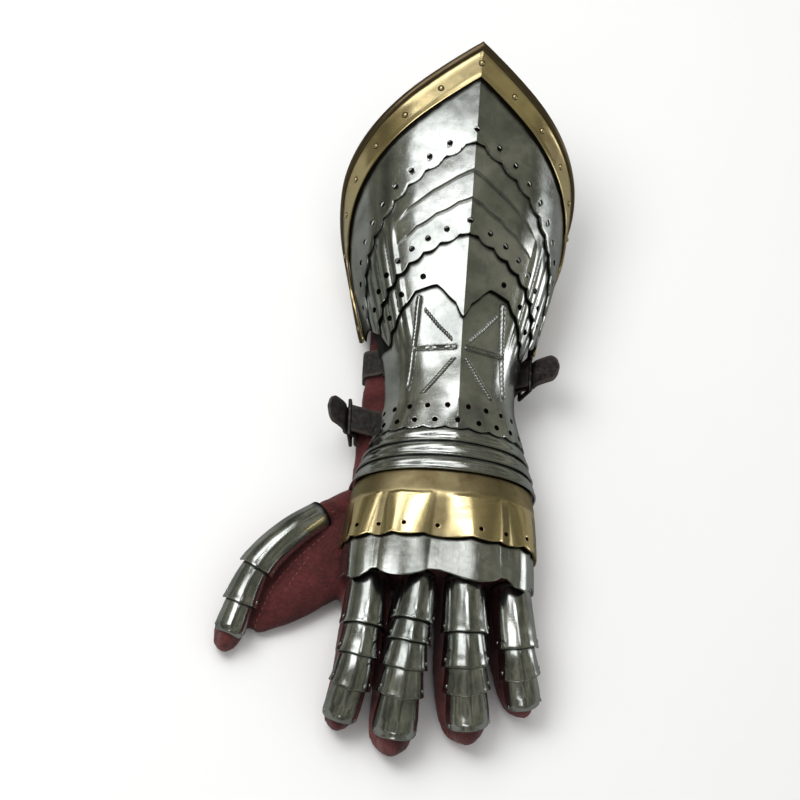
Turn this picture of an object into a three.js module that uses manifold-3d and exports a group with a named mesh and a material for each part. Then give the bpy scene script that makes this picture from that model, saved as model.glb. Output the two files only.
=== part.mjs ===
// Armoured gauntlet for the left hand: a pointed steel cuff edged with brass, sliding wrist lames, a brass
// knuckle band and small overlapping finger plates, all carried by a red leather glove.
// Millimetres, +Z up. It lies palm down: fingers to -Y, point of the cuff to +Y, thumb to -X.
import * as THREE from 'three';
import { mergeVertices } from 'three/addons/utils/BufferGeometryUtils.js';
import Module from 'manifold-3d';

const wasm = await Module();
wasm.setup();

// ---- driving dimensions ----
const steelThick = 1.2;
const brassThick = 1.2;
const stepOut = 1.9; // from the inside of one cuff plate to the inside of the plate laid over it
const lameTilt = 2.4; // how far a sliding lame's hidden edge lies below its visible edge
const fingerTilt = 2.5; // the same for a finger plate
const fingerOverlap = 3;
const lameOverlap = 4.2;
const gloveGap = 5.3; // from the skin that carries the plates down to the leather
const leatherThick = 1.7;
const holeRadius = 1.7;
const degreeLength = 1.08; // millimetres along the cuff for one degree about its axis
const degree = Math.PI / 180;

// The skin: the surface that carries the plates, one row for each station along the arm.
// wide: half width; top: height of the back; mid: height of the widest line; drop: depth of the lower half;
// square: 1 is an ellipse and less is boxier; shift: sideways place of the axis; keel: height of the ridge.
const skinRows = [
  { y: -118, wide: 55.0, top: 50.5, mid: 19, drop: 26, square: 0.76, shift: -3.5, keel: 0 },
  { y: -86, wide: 56.5, top: 54.0, mid: 20, drop: 28, square: 0.78, shift: -2.5, keel: 0 },
  { y: -50, wide: 53.5, top: 56.5, mid: 23, drop: 30, square: 0.86, shift: -1.0, keel: 0 },
  { y: -22, wide: 44.5, top: 58.5, mid: 27, drop: 34, square: 0.95, shift: 0, keel: 1.2 },
  { y: 0, wide: 38.5, top: 60.0, mid: 29, drop: 38, square: 1, shift: 0, keel: 3.0 },
  { y: 24, wide: 40.0, top: 62.0, mid: 31, drop: 46, square: 1, shift: 0, keel: 3.2 },
  { y: 50, wide: 46.5, top: 66.0, mid: 33, drop: 58, square: 1, shift: 0, keel: 3.6 },
  { y: 88, wide: 55.5, top: 74.5, mid: 35, drop: 68, square: 1, shift: 0, keel: 4.4 },
  { y: 125, wide: 60.5, top: 82.5, mid: 37, drop: 76, square: 1, shift: 0, keel: 4.8 },
  { y: 160, wide: 63.0, top: 90.0, mid: 40, drop: 80, square: 1, shift: 0, keel: 5.0 },
  { y: 200, wide: 65.0, top: 97.5, mid: 44, drop: 84, square: 1, shift: 0, keel: 5.0 },
];
const keelHalfAngle = 27; // degrees to each side over which the ridge falls away

// Edges of the cuff's plates, as angle in degrees from the keel and place along the arm.
const cuffOutline = [
  [0, 197], [30, 173.5], [60, 150], [90, 126], [106, 110], [115, 96], [117, 80], [112, 60], [106, 43],
];
const borderInside = [
  [0, 175], [30, 151.5], [50, 134], [68, 117], [84, 100], [97, 86], [103, 72], [101, 56], [96, 42],
];
const rimEdge = [[0, 141], [20, 127], [38, 112], [55, 94], [70, 76], [80, 58], [84, 42]];
const secondEdge = [[0, 89], [20, 80.5], [42, 68], [60, 54], [74, 38]];
const thirdEdge = [[0, 42.5], [6, 50], [14, 58], [24, 60], [36, 55], [50, 44], [66, 30]];

const chevrons = [0.42, 0.68]; // shares of the second lame's length where it is stepped
const chevronHeight = 0.8;
const borderRim = 0.24; // share of the border's width that is rolled over
const borderRimHeight = 1.4;
const rivetsPerSide = 7;
const rivetRadius = 1.4;

// Lobes of each scalloped edge, counted from the keel to one end, and how far each lobe stands out.
const edgeLobes = {
  rim: { count: 11, depth: 1.9 },
  second: { count: 8, depth: 1.8 },
  third: { count: 5, depth: 1.4 },
  wrist: { count: 6, depth: 1.5 },
  band: { count: 5, depth: 1.4 },
};

// Wrist plate: its ends along the arm, its half angle, its rows of holes and its raised lines.
const wristHigh = 70;
const wristLow = -22;
const wristHalfAngle = 97;
const wristRelief = [ // raised lines on each side of the keel, as angle and place along the arm
  { name: 'rib', line: [[31, 53], [35, 38], [40, 24], [46, 2]], halfWidth: 1.5, height: 1.5 },
  { name: 'cross rib', line: [[5, 24], [20, 24], [38, 24]], halfWidth: 1.2, height: 1.2 },
  { name: 'lower rope', line: [[6, 17], [17, 8], [30, -2]], halfWidth: 1.6, height: 1.3 },
  { name: 'upper rope', line: [[8, 29], [18, 37], [27, 46]], halfWidth: 1.4, height: 1.2 },
];
const wristHoles = [
  { y: -18.5, last: 5 },
  { y: -10, last: 4.5 },
];
const wristHoleRadius = 1.6;

// Lames and band of the hand: visible edges along the arm and half angles.
const wristLameEdges = [-30, -38.5, -47];
const lameDroop = 3; // how far the ends of a lame lean towards the fingers
const wristLameHalfAngle = 96;
const bandHigh = wristLameEdges[2] + lameOverlap;
const bandLow = -85;
const bandHalfAngle = 90;
const knuckleAngles = [-56, -21, 14, 49]; // the middle of each knuckle flute
const knuckleLow = -105;
const knuckleLobe = 4.5;
const fluteHalfWidth = 15;
const bandFlute = 2.6;
const lameFlute = 1.4;
const bandHoleRadius = 1.3;
const bandHolePitch = 17.5;
const bandHoleLine = -80;

// Fingers: the middle line of the plates from knuckle to tip, the inner radius of the plates at both ends and
// the place along -Y of each plate's visible edge.
const fingers = [
  { name: 'index', root: [-39.5, -90, 25], bend: [-46, -150, 28.3], tip: [-54.5, -188, 10.5],
    wide: 14.2, narrow: 9.2, edges: [-133, -147.5, -163, -182] },
  { name: 'middle', root: [-12.5, -90, 36.5], bend: [-20.5, -150, 35.5], tip: [-23.7, -199.5, 10.5],
    wide: 10.2, narrow: 12.6, edges: [-130, -140.5, -153, -166.5, -189] },
  { name: 'ring', root: [9.5, -90, 36.5], bend: [12, -148, 34.5], tip: [19.2, -190, 11],
    wide: 12.4, narrow: 12.2, edges: [-133, -148.5, -160.5, -180.5] },
  { name: 'pinky', root: [36.4, -90, 25.2], bend: [42, -142, 28], tip: [50.6, -172, 10.5],
    wide: 13.4, narrow: 9.6, edges: [-136, -149, -166] },
];
const fingerHalfAngle = 84;
const fingerTop = -103; // where the first finger plates are tucked under the knuckle lame
const thumbLine = [[-68, -66, 17], [-86, -81, 20], [-103, -102, 19.5], [-116, -139, 11.5]];
const thumb = { wide: 9.8, narrow: 8.4, edges: [50, 70, 88] };

// Glove: the body along palm, wrist and forearm, with the reach of its lower half to each side.
const bodyRows = [
  { y: -101, left: 50, right: 45, floor: 0 },
  { y: -76, left: 51, right: 46, floor: 0 },
  { y: -50, left: 51, right: 46, floor: 0.4 },
  { y: -22, left: 50, right: 42, floor: 2.6 },
  { y: -4, left: 49, right: 40, floor: 3.4 },
  { y: 16, left: 47, right: 40, floor: 4 },
  { y: 34, left: 45.5, right: 41, floor: 4.5 },
  { y: 54, left: 45, right: 43, floor: 6 },
  { y: 76, left: 47, right: 47, floor: 8 },
];
const bodyCorners = [-150, -136, -122, -108, -90, -60, -30, 0, 30, 60, 90, 108, 122, 136, 150];


// The lower half of the glove's body, by angle from the keel: down is the share of the fall to the ground,
// reach the share of the spread beyond the upper half, across the share of the width that it has there and
// lift the rise of the surface for each millimetre that it is set out.
const underRows = [
  { angle: 90, down: 0, reach: 0, across: 1, lift: 0 },
  { angle: 108, down: 0.33, reach: 0.04, across: 1, lift: 0.96 },
  { angle: 124, down: 0.6, reach: 1, across: 1, lift: 1.2 },
  { angle: 140, down: 0.88, reach: 1, across: 0.97, lift: 0.2 },
  { angle: 156, down: 1, reach: 1, across: 0.84, lift: 0 },
  { angle: 180, down: 1, reach: 1, across: 0, lift: 0 },
];

const tubeSides = 8; // of a glove finger
const cuffRunOut = 4; // how far the hollow runs out past the glove's cuff
const tipLength = 95; // the hollow of a finger ends short of its tip by the leather's share of this length
const underDepth = 1.25; // a finger's lower half would reach this share of its height down, past the ground
const fingerRoom = 3.3; // from the inside of the finger plates to the leather
const fingerSpread = { root: -1.2, tip: 2.2 }; // reach of a finger's lower half past its plates
const thumbUpper = { root: 6.6, tip: 5 };
const thumbLower = { root: 9, tip: 11.5 };
const gloveSeam = 0.3; // gap between two parts of the glove
const fingerCut = -103; // where the glove's fingers begin
const thumbCut = [[-55.2, -40], [-60.7, -152], [-200, -152], [-200, -40]]; // round the thumb and its web
const thumbRoot = [-44, -50, 14];
const thumbEnd = [-119, -148, 10];
const webRows = [ // the leather between the thumb and the palm
  { x: -44, y: -74, z: 11, wide: 25, high: 10 },
  { x: -72, y: -99, z: 9, wide: 20, high: 8.5 },
  { x: -92, y: -119, z: 7.5, wide: 14, high: 6.5 },
  { x: -103, y: -131, z: 6, wide: 6, high: 4 },
];

// Straps: station along the arm, side of the buckle and the angle where the buckle sits.
const straps = [
  { name: 'wrist', y: -9, side: -1, buckleAngle: 126 },
  { name: 'cuff', y: 29, side: 1, buckleAngle: 126 },
];
const buckle = { half: 11.5, long: 17, bar: 2.4, thick: 2 }; // long is along the strap, half across it
const tongueSize = [1.8, 8.5, 1.3];
const buckleLean = 12; // degrees that the buckle leans out from the wrist
const strapWidth = 16;
const strapThick = 1.6;
const strapGap = 0.95;

// ---- curves and surfaces ----
function rowAt(rows, y) {
  const last = rows.length - 1;
  const place = Math.min(Math.max(y, rows[0].y), rows[last].y);
  let k = rows.findIndex((row) => row.y >= place) - 1;
  k = Math.max(k, 0);
  const span = rows[k + 1].y - rows[k].y;
  const t = (place - rows[k].y) / span;
  const slope = (i, key) => {
    const a = rows[Math.max(i - 1, 0)];
    const b = rows[Math.min(i + 1, last)];
    return (b[key] - a[key]) / (b.y - a.y);
  };
  const result = {};
  for (const key of Object.keys(rows[k])) {
    const from = rows[k][key];
    const to = rows[k + 1][key];
    const leave = slope(k, key) * span;
    const arrive = slope(k + 1, key) * span;
    result[key] = from + t * leave + t * t * (3 * (to - from) - 2 * leave - arrive)
      + t * t * t * (leave + arrive - 2 * (to - from));
  }
  result.y = y;
  return result;
}

const power = (value, exponent) => Math.sign(value) * Math.abs(value) ** exponent;

function smooth(low, high, value) {
  const t = Math.min(Math.max((value - low) / (high - low), 0), 1);
  return t * t * (3 - 2 * t);
}

// A point of the skin at a station and an angle from the keel, moved outwards.
function skin(y, angle, out = 0) {
  const row = rowAt(skinRows, y);
  const s = Math.sin(angle * degree);
  const c = Math.cos(angle * degree);
  const tall = c > 0 ? row.top - row.mid + out : row.drop + out;
  const fall = Math.max(0, 1 - Math.abs(angle) / keelHalfAngle);
  const x = row.shift + (row.wide + out) * power(s, row.square);
  return new THREE.Vector3(x, y, row.mid + tall * power(c, row.square) + row.keel * fall * fall);
}

// An edge as a smooth line in the unrolled cuff: t runs from -1 over the keel to 1, and up moves the place
// square to the line, towards the cuff's point.
function edgeLine(points) {
  const line = new THREE.SplineCurve(points.map(([angle, y]) => new THREE.Vector2(angle * degreeLength, y)));
  return (t, up = 0) => {
    const place = line.getPointAt(Math.abs(t));
    const along = line.getTangentAt(Math.abs(t));
    const side = t < 0 ? -1 : 1;
    const across = t === 0 ? 0 : place.x - along.y * up;
    return { angle: side * across / degreeLength, y: place.y + (t === 0 ? up : along.x * up) };
  };
}

// ---- solids ----
// A closed geometry from a list of points and quads; faces are turned to point out.
function closedGeometry(points, quads) {
  const triangles = [];
  for (const [a, b, c, d] of quads) {
    triangles.push(a, b, c, a, c, d);
  }
  let volume = 0;
  for (let i = 0; i < triangles.length; i += 3) {
    const [a, b, c] = [points[triangles[i]], points[triangles[i + 1]], points[triangles[i + 2]]];
    volume += a.dot(new THREE.Vector3().crossVectors(b, c));
  }
  if (volume < 0) triangles.reverse();
  const geometry = new THREE.BufferGeometry();
  geometry.setAttribute('position', new THREE.Float32BufferAttribute(points.flatMap((p) => p.toArray()), 3));
  geometry.setIndex(triangles);
  return geometry;
}

// A sheet with an outer and an inner face, each a grid of points, closed along its four edges.
function sheetGeometry(outer, inner, columns, rows) {
  const points = [];
  for (const face of [outer, inner]) {
    for (let i = 0; i <= columns; i += 1) {
      for (let j = 0; j <= rows; j += 1) points.push(face(i, j));
    }
  }
  const offset = (columns + 1) * (rows + 1);
  const at = (i, j) => i * (rows + 1) + j;
  const quads = [];
  for (let i = 0; i < columns; i += 1) {
    for (let j = 0; j < rows; j += 1) {
      quads.push([at(i, j), at(i + 1, j), at(i + 1, j + 1), at(i, j + 1)]);
      quads.push([at(i, j + 1), at(i + 1, j + 1), at(i + 1, j), at(i, j)].map((k) => k + offset));
    }
  }
  for (let i = 0; i < columns; i += 1) {
    quads.push([at(i + 1, 0), at(i, 0), at(i, 0) + offset, at(i + 1, 0) + offset]);
    quads.push([at(i, rows), at(i + 1, rows), at(i + 1, rows) + offset, at(i, rows) + offset]);
  }
  for (let j = 0; j < rows; j += 1) {
    quads.push([at(0, j), at(0, j + 1), at(0, j + 1) + offset, at(0, j) + offset]);
    quads.push([at(columns, j + 1), at(columns, j), at(columns, j) + offset, at(columns, j + 1) + offset]);
  }
  return closedGeometry(points, quads);
}

// A tube of rings that closes to a point at each end.
function tubeGeometry(rings) {
  const sides = rings[0].length;
  const points = rings.flat();
  const middle = (ring) => ring.reduce((sum, p) => sum.add(p), new THREE.Vector3()).divideScalar(sides);
  points.push(middle(rings[0]), middle(rings[rings.length - 1]));
  const at = (i, j) => i * sides + (j % sides);
  const quads = [];
  for (let i = 0; i < rings.length - 1; i += 1) {
    for (let j = 0; j < sides; j += 1) quads.push([at(i, j), at(i + 1, j), at(i + 1, j + 1), at(i, j + 1)]);
  }
  const geometry = closedGeometry(points, quads);
  const index = Array.from(geometry.index.array);
  const flipped = index[0] !== quads[0][0];
  const last = rings.length - 1;
  for (let j = 0; j < sides; j += 1) {
    const first = [points.length - 2, at(0, j), at(0, j + 1)];
    const end = [points.length - 1, at(last, j + 1), at(last, j)];
    if (flipped) {
      first.reverse();
      end.reverse();
    }
    index.push(...first, ...end);
  }
  geometry.setIndex(index);
  return geometry;
}

function solid(geometry) {
  const bare = geometry.clone();
  bare.deleteAttribute('normal');
  bare.deleteAttribute('uv');
  const merged = mergeVertices(bare, 1e-4);
  const mesh = new wasm.Mesh({
    numProp: 3,
    vertProperties: Float32Array.from(merged.attributes.position.array),
    triVerts: Uint32Array.from(merged.index.array),
  });
  return new wasm.Manifold(mesh);
}

function geometryOf(body) {
  const mesh = body.getMesh();
  const geometry = new THREE.BufferGeometry();
  geometry.setAttribute('position', new THREE.BufferAttribute(Float32Array.from(mesh.vertProperties), 3));
  geometry.setIndex(Array.from(mesh.triVerts));
  return geometry;
}

// ---- materials ----
const finish = {
  steel: { color: 0xaab0b0, roughness: 0.16, metalness: 1 },
  brass: { color: 0xc79a4b, roughness: 0.2, metalness: 1 },
  leather: { color: 0x642026, roughness: 0.85, metalness: 0 },
  strap: { color: 0x1a1817, roughness: 0.6, metalness: 0 },
  blackIron: { color: 0x4a4a4a, roughness: 0.4, metalness: 1 },
};

const gauntlet = new THREE.Group();

function addPiece(name, geometry, finishName) {
  const mesh = new THREE.Mesh(geometry, new THREE.MeshStandardMaterial(finish[finishName]));
  mesh.name = name;
  gauntlet.add(mesh);
}

// ---- plates of the cuff ----
// A plate on the skin: across lists its stops from -1 to 1 round the arm, down those from 0 to 1 along it.
function skinPlate({ across, down, place, inside, thick, relief = () => 0 }) {
  const face = (extra) => (i, j) => {
    const { y, angle } = place(across[i], down[j]);
    return skin(y, angle, inside(down[j]) + extra + relief(down[j], angle, extra > 0));
  };
  return sheetGeometry(face(thick), face(0), across.length - 1, down.length - 1);
}

const evenStops = (count) => Array.from({ length: count + 1 }, (_, i) => (2 * i) / count - 1);

// The strip of cuff between two edge lines.
function between(high, low) {
  return (t, v) => {
    const a = high(t, v);
    const b = low(t, v);
    return { y: a.y + (b.y - a.y) * v, angle: a.angle + (b.angle - a.angle) * v };
  };
}

// A row of rounded lobes along an edge, with a lobe on the keel; count is the lobes from the keel to one end.
const lobes = (t, count, depth) => depth * Math.abs(Math.cos(Math.PI * count * t));

// Stops that meet the keel, the middle of each lobe and every cusp between two lobes.
const lobeStops = (count) => evenStops(count * 4);

// The places of the holes along a lobed edge, one in each lobe, moved up from the edge.
function lobeHoles(edge, count, up) {
  return Array.from({ length: 2 * count - 1 }, (_, i) => edge((i - count + 1) / count, up));
}

// A round tool through the skin at a place, for a hole or a rivet head.
function skinPeg(place, radius, from, to, sides = 4) {
  const middle = skin(place.y, place.angle, (from + to) / 2);
  const outward = skin(place.y, place.angle, (from + to) / 2 + 1).sub(middle).normalize();
  const peg = new THREE.CylinderGeometry(radius, radius, to - from, sides);
  peg.applyQuaternion(new THREE.Quaternion().setFromUnitVectors(new THREE.Vector3(0, 1, 0), outward));
  peg.translate(middle.x, middle.y, middle.z);
  return solid(peg);
}

function pierce(body, places, inside, radius = holeRadius) {
  let result = body;
  for (const place of places) result = result.subtract(skinPeg(place, radius, inside - 4, inside + 7));
  return result;
}

// A raised bead along a line on the skin, sunk halfway into the plate.
function bead(places, inside, halfWidth, height) {
  const middles = places.map(([angle, y]) => skin(y, angle, inside));
  const rings = middles.map((middle, i) => {
    const [angle, y] = places[i];
    const before = middles[Math.max(i - 1, 0)];
    const after = middles[Math.min(i + 1, middles.length - 1)];
    const along = after.clone().sub(before).normalize();
    const out = skin(y, angle, inside + 1).sub(middle).normalize();
    const side = new THREE.Vector3().crossVectors(along, out).normalize();
    const corner = (a, b) => middle.clone().addScaledVector(side, a).addScaledVector(out, b);
    return [corner(-halfWidth, 0), corner(0, -0.6), corner(halfWidth, 0), corner(0, height)];
  });
  return solid(tubeGeometry(rings));
}

const cuffLevel = (step) => step * stepOut;

// Brass border with a rolled rim along the outline and a line of small rivets.
function cuffBorder() {
  const level = cuffLevel(3);
  const width = between(edgeLine(cuffOutline), edgeLine(borderInside));
  let body = solid(skinPlate({
    across: evenStops(28), down: [0, borderRim / 2, borderRim, 0.62, 1], thick: brassThick,
    inside: () => level, place: width,
    relief: (v, angle, outer) => (outer && v < borderRim ? borderRimHeight : 0),
  }));
  const rivetSpread = 0.95;
  for (let i = -rivetsPerSide; i <= rivetsPerSide; i += 1) {
    const place = width((i / rivetsPerSide) * rivetSpread, 0.52);
    body = body.add(skinPeg(place, rivetRadius, level + 0.3, level + brassThick + 0.8));
  }
  return geometryOf(body);
}

function rimLame() {
  const tucked = between(edgeLine(cuffOutline), edgeLine(borderInside));
  const low = edgeLine(rimEdge);
  const { count, depth } = edgeLobes.rim;
  const level = cuffLevel(2);
  const plate = skinPlate({
    across: lobeStops(count), down: [0, 0.4, 0.75, 1], thick: steelThick, inside: () => level,
    place: between((t) => tucked(t, 0.35), (t, v) => low(t, -lobes(t, count, depth) * v)),
  });
  return geometryOf(pierce(solid(plate), lobeHoles(low, count, 5.2), level));
}

// The second lame is stepped along two chevrons, as if three narrow plates lay one over the other.
function secondLame() {
  const high = edgeLine(rimEdge);
  const low = edgeLine(secondEdge);
  const { count, depth } = edgeLobes.second;
  const fade = (angle) => 1 - smooth(28, 46, Math.abs(angle));
  const stepped = (v, angle) => (chevrons.includes(v) ? chevronHeight * fade(angle) : 0);
  const plate = skinPlate({
    across: lobeStops(count), down: [0, chevrons[0], chevrons[0] + 0.02, chevrons[1], chevrons[1] + 0.02, 1],
    thick: steelThick, inside: () => cuffLevel(1),
    place: between((t) => high(t, 7), (t, v) => low(t, -lobes(t, count, depth) * v)),
    relief: (v, angle, outer) => (outer ? stepped(v, angle) : 0),
  });
  return geometryOf(pierce(solid(plate), lobeHoles(low, count, 5.5), cuffLevel(1)));
}

function thirdLame() {
  const high = edgeLine(secondEdge);
  const low = edgeLine(thirdEdge);
  const { count, depth } = edgeLobes.third;
  const plate = skinPlate({
    across: lobeStops(count), down: [0, 0.5, 1], thick: steelThick, inside: () => cuffLevel(0),
    place: between((t) => high(t, 7), (t, v) => low(t, -lobes(t, count, depth) * v)),
  });
  const holes = [-0.82, -0.61, -0.4, 0.4, 0.61, 0.82].map((t) => low(t, 5));
  return geometryOf(pierce(solid(plate), holes, cuffLevel(0)));
}

addPiece('cuff_border', cuffBorder(), 'brass');
addPiece('rim_lame', rimLame(), 'steel');
addPiece('second_lame', secondLame(), 'steel');
addPiece('third_lame', thirdLame(), 'steel');

// ---- wrist ----
const mirrored = (places, side) => places.map(([angle, y]) => [side * angle, y]);

// The wrist plate runs straight round the wrist: t is the side and v goes from the cuff down to the hand.
function wristPlate() {
  const { count, depth } = edgeLobes.wrist;
  const level = cuffLevel(-1);
  const place = (t, v) => ({
    angle: t * wristHalfAngle,
    y: wristHigh + (wristLow - lobes(t, count, depth) - wristHigh) * v,
  });
  let body = solid(skinPlate({
    across: evenStops(count * 4), down: [0, 0.27, 0.53, 0.78, 1], thick: steelThick,
    inside: () => level, place,
  }));
  for (const side of [-1, 1]) {
    for (const { line, halfWidth, height } of wristRelief) {
      body = body.add(bead(mirrored(line, side), level + steelThick, halfWidth, height));
    }
  }
  const pitch = wristHalfAngle / count;
  const holes = [];
  for (const { y, last } of wristHoles) {
    for (let k = -last; k <= last; k += 1) holes.push({ y, angle: k * pitch });
  }
  return geometryOf(pierce(body, holes, level, wristHoleRadius));
}

// A lame across the hand from its hidden edge to its visible one, each a function of the side t.
function handLame({ hidden, visible, halfAngle, across, down, thick, bulge = () => 0 }) {
  return skinPlate({
    across, down, thick,
    inside: (v) => cuffLevel(-1) - lameTilt * (1 - v),
    place: (t, v) => ({ angle: t * halfAngle, y: hidden(t) + (visible(t) - hidden(t)) * v }),
    relief: (v, angle) => bulge(angle, v),
  });
}

const droop = (t) => -lameDroop * t * t;

function addWristLames() {
  wristLameEdges.forEach((edge, k) => {
    const above = k === 0 ? wristLow : wristLameEdges[k - 1];
    const geometry = handLame({
      hidden: (t) => above + lameOverlap + (k === 0 ? 0 : droop(t)), visible: (t) => edge + droop(t),
      halfAngle: wristLameHalfAngle, across: evenStops(16), down: [0, 1], thick: steelThick,
    });
    addPiece(`wrist_lame_${k + 1}`, geometry, 'steel');
  });
}

addPiece('wrist_plate', wristPlate(), 'steel');
addWristLames();

// ---- hand ----
// Four rounded flutes over the knuckles, full at the lower edge and fading out towards the wrist.
function knuckleFlutes(angle, strength, height) {
  const nearest = Math.min(...knuckleAngles.map((middle) => Math.abs(angle - middle)));
  const rise = Math.cos((Math.min(nearest / fluteHalfWidth, 1) * Math.PI) / 2);
  return height * strength * Math.max(0, rise) ** 0.7;
}

function knuckleBand() {
  const { count, depth } = edgeLobes.band;
  const body = solid(handLame({
    hidden: (t) => bandHigh + droop(t), visible: (t) => bandLow - lobes(t, count, depth),
    halfAngle: bandHalfAngle, thick: brassThick, across: evenStops(32), down: [0, 0.4, 0.7, 1],
    bulge: (angle, v) => knuckleFlutes(angle, smooth(0.4, 0.75, v), bandFlute),
  }));
  const first = knuckleAngles[0];
  const holes = Array.from({ length: 8 }, (_, k) => ({ y: bandHoleLine, angle: first + k * bandHolePitch }));
  return geometryOf(pierce(body, holes, cuffLevel(-1), bandHoleRadius));
}

function knuckleLame() {
  const halfAngle = bandHalfAngle - 2;
  return handLame({
    hidden: () => bandLow + lameOverlap + 1,
    visible: (t) => knuckleLow - knuckleLobe * knuckleFlutes(t * halfAngle, 1, 1),
    halfAngle, across: evenStops(26), down: [0, 1], thick: steelThick,
    bulge: (angle) => knuckleFlutes(angle, 1, lameFlute),
  });
}

addPiece('knuckle_band', knuckleBand(), 'brass');
addPiece('knuckle_lame', knuckleLame(), 'steel');

// A line through the middle of a finger with a frame at each place along it.
function fingerFrame(points) {
  const line = new THREE.CatmullRomCurve3(points.map((p) => new THREE.Vector3(...p)));
  const up = new THREE.Vector3(0, 0, 1);
  return (t, angle, radius) => {
    const along = line.getTangentAt(t);
    const side = new THREE.Vector3().crossVectors(along, up).normalize();
    const out = new THREE.Vector3().crossVectors(side, along).normalize();
    return line.getPointAt(t)
      .addScaledVector(side, radius * Math.sin(angle * degree))
      .addScaledVector(out, radius * Math.cos(angle * degree));
  };
}

// One plate over a finger, from t a to t b of its line; the last one closes down over the tip.
function fingerLame({ frame, from, to, radius, last }) {
  const columns = 6;
  const long = to - from > 0.35;
  const steps = last ? [0, 0.55, 0.8, 0.95, 1] : [0, 0.35, 0.7, 1].filter((v) => long || v % 1 === 0);
  const closing = last ? [0, 0, 0.4, 1.6, 3.2] : [0, 0, 0, 0]; // how far the tip has drawn in at each step
  const rows = steps.length - 1;
  const face = (extra) => (i, j) => {
    const v = steps[j];
    const angle = fingerHalfAngle * ((2 * i) / columns - 1);
    const t = from + (to - from) * v;
    return frame(t, angle, radius(t) - fingerTilt * (1 - v) - closing[j] + extra);
  };
  return sheetGeometry(face(steelThick), face(0), columns, rows);
}

function addFinger({ name, points, starts, edges, wide, narrow, place }) {
  const frame = fingerFrame(points);
  const radius = (t) => wide + (narrow - wide) * t;
  edges.forEach((edge, k) => {
    const geometry = fingerLame({
      frame, radius, to: place(edge), last: k === edges.length - 1,
      from: place(k === 0 ? starts : edges[k - 1], k === 0 ? 0 : fingerOverlap),
    });
    addPiece(`${name}_lame_${k + 1}`, geometry, 'steel');
  });
}

for (const finger of fingers) {
  const length = finger.root[1] - finger.tip[1];
  addFinger({
    ...finger, points: [finger.root, finger.bend, finger.tip], starts: fingerTop,
    place: (y, back = 0) => (finger.root[1] - y - back) / length,
  });
}
const thumbLength = thumb.edges[thumb.edges.length - 1];
addFinger({
  ...thumb, name: 'thumb', points: thumbLine, starts: 0,
  place: (along, back = 0) => (along - back) / thumbLength,
});

// ---- glove ----
function underAt(angle) {
  const k = Math.max(underRows.findIndex((row) => row.angle >= angle), 1);
  const [a, b] = [underRows[k - 1], underRows[k]];
  const t = (angle - a.angle) / (b.angle - a.angle);
  const mix = (key) => a[key] + (b[key] - a[key]) * t;
  return { down: mix('down'), reach: mix('reach'), across: mix('across'), lift: mix('lift') };
}

// A point of the glove's body: the upper half follows the skin and the lower half spreads and lies flat.
function bodyPoint(row, angle, inset) {
  const { wide, mid, shift } = rowAt(skinRows, row.y);
  const turn = Math.abs(((angle + 540) % 360) - 180);
  const side = Math.sign(Math.sin(angle * degree)) || 1;
  if (turn <= 90) return skin(row.y, side * turn, -gloveGap - inset);
  const { down, reach, across, lift } = underAt(turn);
  const narrow = wide - gloveGap - inset;
  const broad = (side < 0 ? row.left : row.right) - inset;
  const x = shift + side * across * (narrow + (broad - narrow) * reach);
  return new THREE.Vector3(x, row.y, mid + (row.floor + inset - mid) * down - inset * lift);
}

function bodyTube(inset) {
  const last = bodyRows.length - 1;
  const rings = bodyRows.map((row, i) => {
    const y = row.y + (i === 0 ? inset : 0) + (i === last && inset > 0 ? cuffRunOut : 0);
    return bodyCorners.map((angle) => bodyPoint({ ...row, y }, angle, inset));
  });
  return solid(tubeGeometry(rings));
}

// A tube of leather on a finger's line; low is the spread of its lower half, which rests on the ground.
function fingerTube({ points, radius, low, inset, bends }) {
  const frame = fingerFrame(points);
  const rings = [[0, 1], ...bends.map((t) => [t, 1]), [0.87, 0.97], [0.96, 0.76], [0.995, 0.36]];
  return solid(tubeGeometry(rings.map(([t, size]) => {
    const place = t * (1 - inset / tipLength);
    const middle = frame(place, 0, 0);
    const tall = (middle.z - inset) * underDepth;
    return Array.from({ length: tubeSides }, (_, j) => {
      const angle = (360 * (j + 0.5)) / tubeSides;
      const c = Math.cos(angle * degree);
      const upper = radius(place) - inset;
      const across = (upper + (low(place) - inset - upper) * smooth(0.1, 0.6, -c)) * Math.sin(angle * degree);
      const side = frame(place, 90, 1).sub(middle);
      const out = frame(place, 0, 1).sub(middle);
      const point = middle.clone().addScaledVector(side, across * size)
        .addScaledVector(out, (c < 0 ? c * tall : c * upper) * size);
      point.z = Math.max(point.z, inset);
      return point;
    });
  })));
}

function webTube(inset) {
  const along = new THREE.Vector3(-0.71, -0.7, 0);
  const side = new THREE.Vector3(along.y, -along.x, 0);
  const rings = webRows.map(({ x, y, z, wide, high }) => Array.from({ length: tubeSides }, (_, j) => {
    const angle = 2 * Math.PI * (j + 0.5) / tubeSides;
    const point = new THREE.Vector3(x, y, z).addScaledVector(side, (wide - inset) * Math.sin(angle));
    point.z = Math.max(point.z + (high - inset) * Math.cos(angle) * 1.1, inset);
    return point;
  }));
  return solid(tubeGeometry(rings));
}

function gloveBody(inset) {
  const blend = ({ root, tip }) => (t) => root + (tip - root) * t;
  let body = bodyTube(inset).add(webTube(inset));
  for (const { root, bend, tip, wide, narrow } of fingers) {
    body = body.add(fingerTube({
      points: [root, bend, tip], inset, bends: [0.52],
      radius: blend({ root: wide - fingerRoom, tip: narrow - fingerRoom }),
      low: blend({ root: wide + fingerSpread.root, tip: narrow + fingerSpread.tip }),
    }));
  }
  return body.add(fingerTube({
    points: [thumbRoot, ...thumbLine, thumbEnd], inset, bends: [0.3, 0.6],
    radius: blend(thumbUpper), low: blend(thumbLower),
  }));
}

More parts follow.
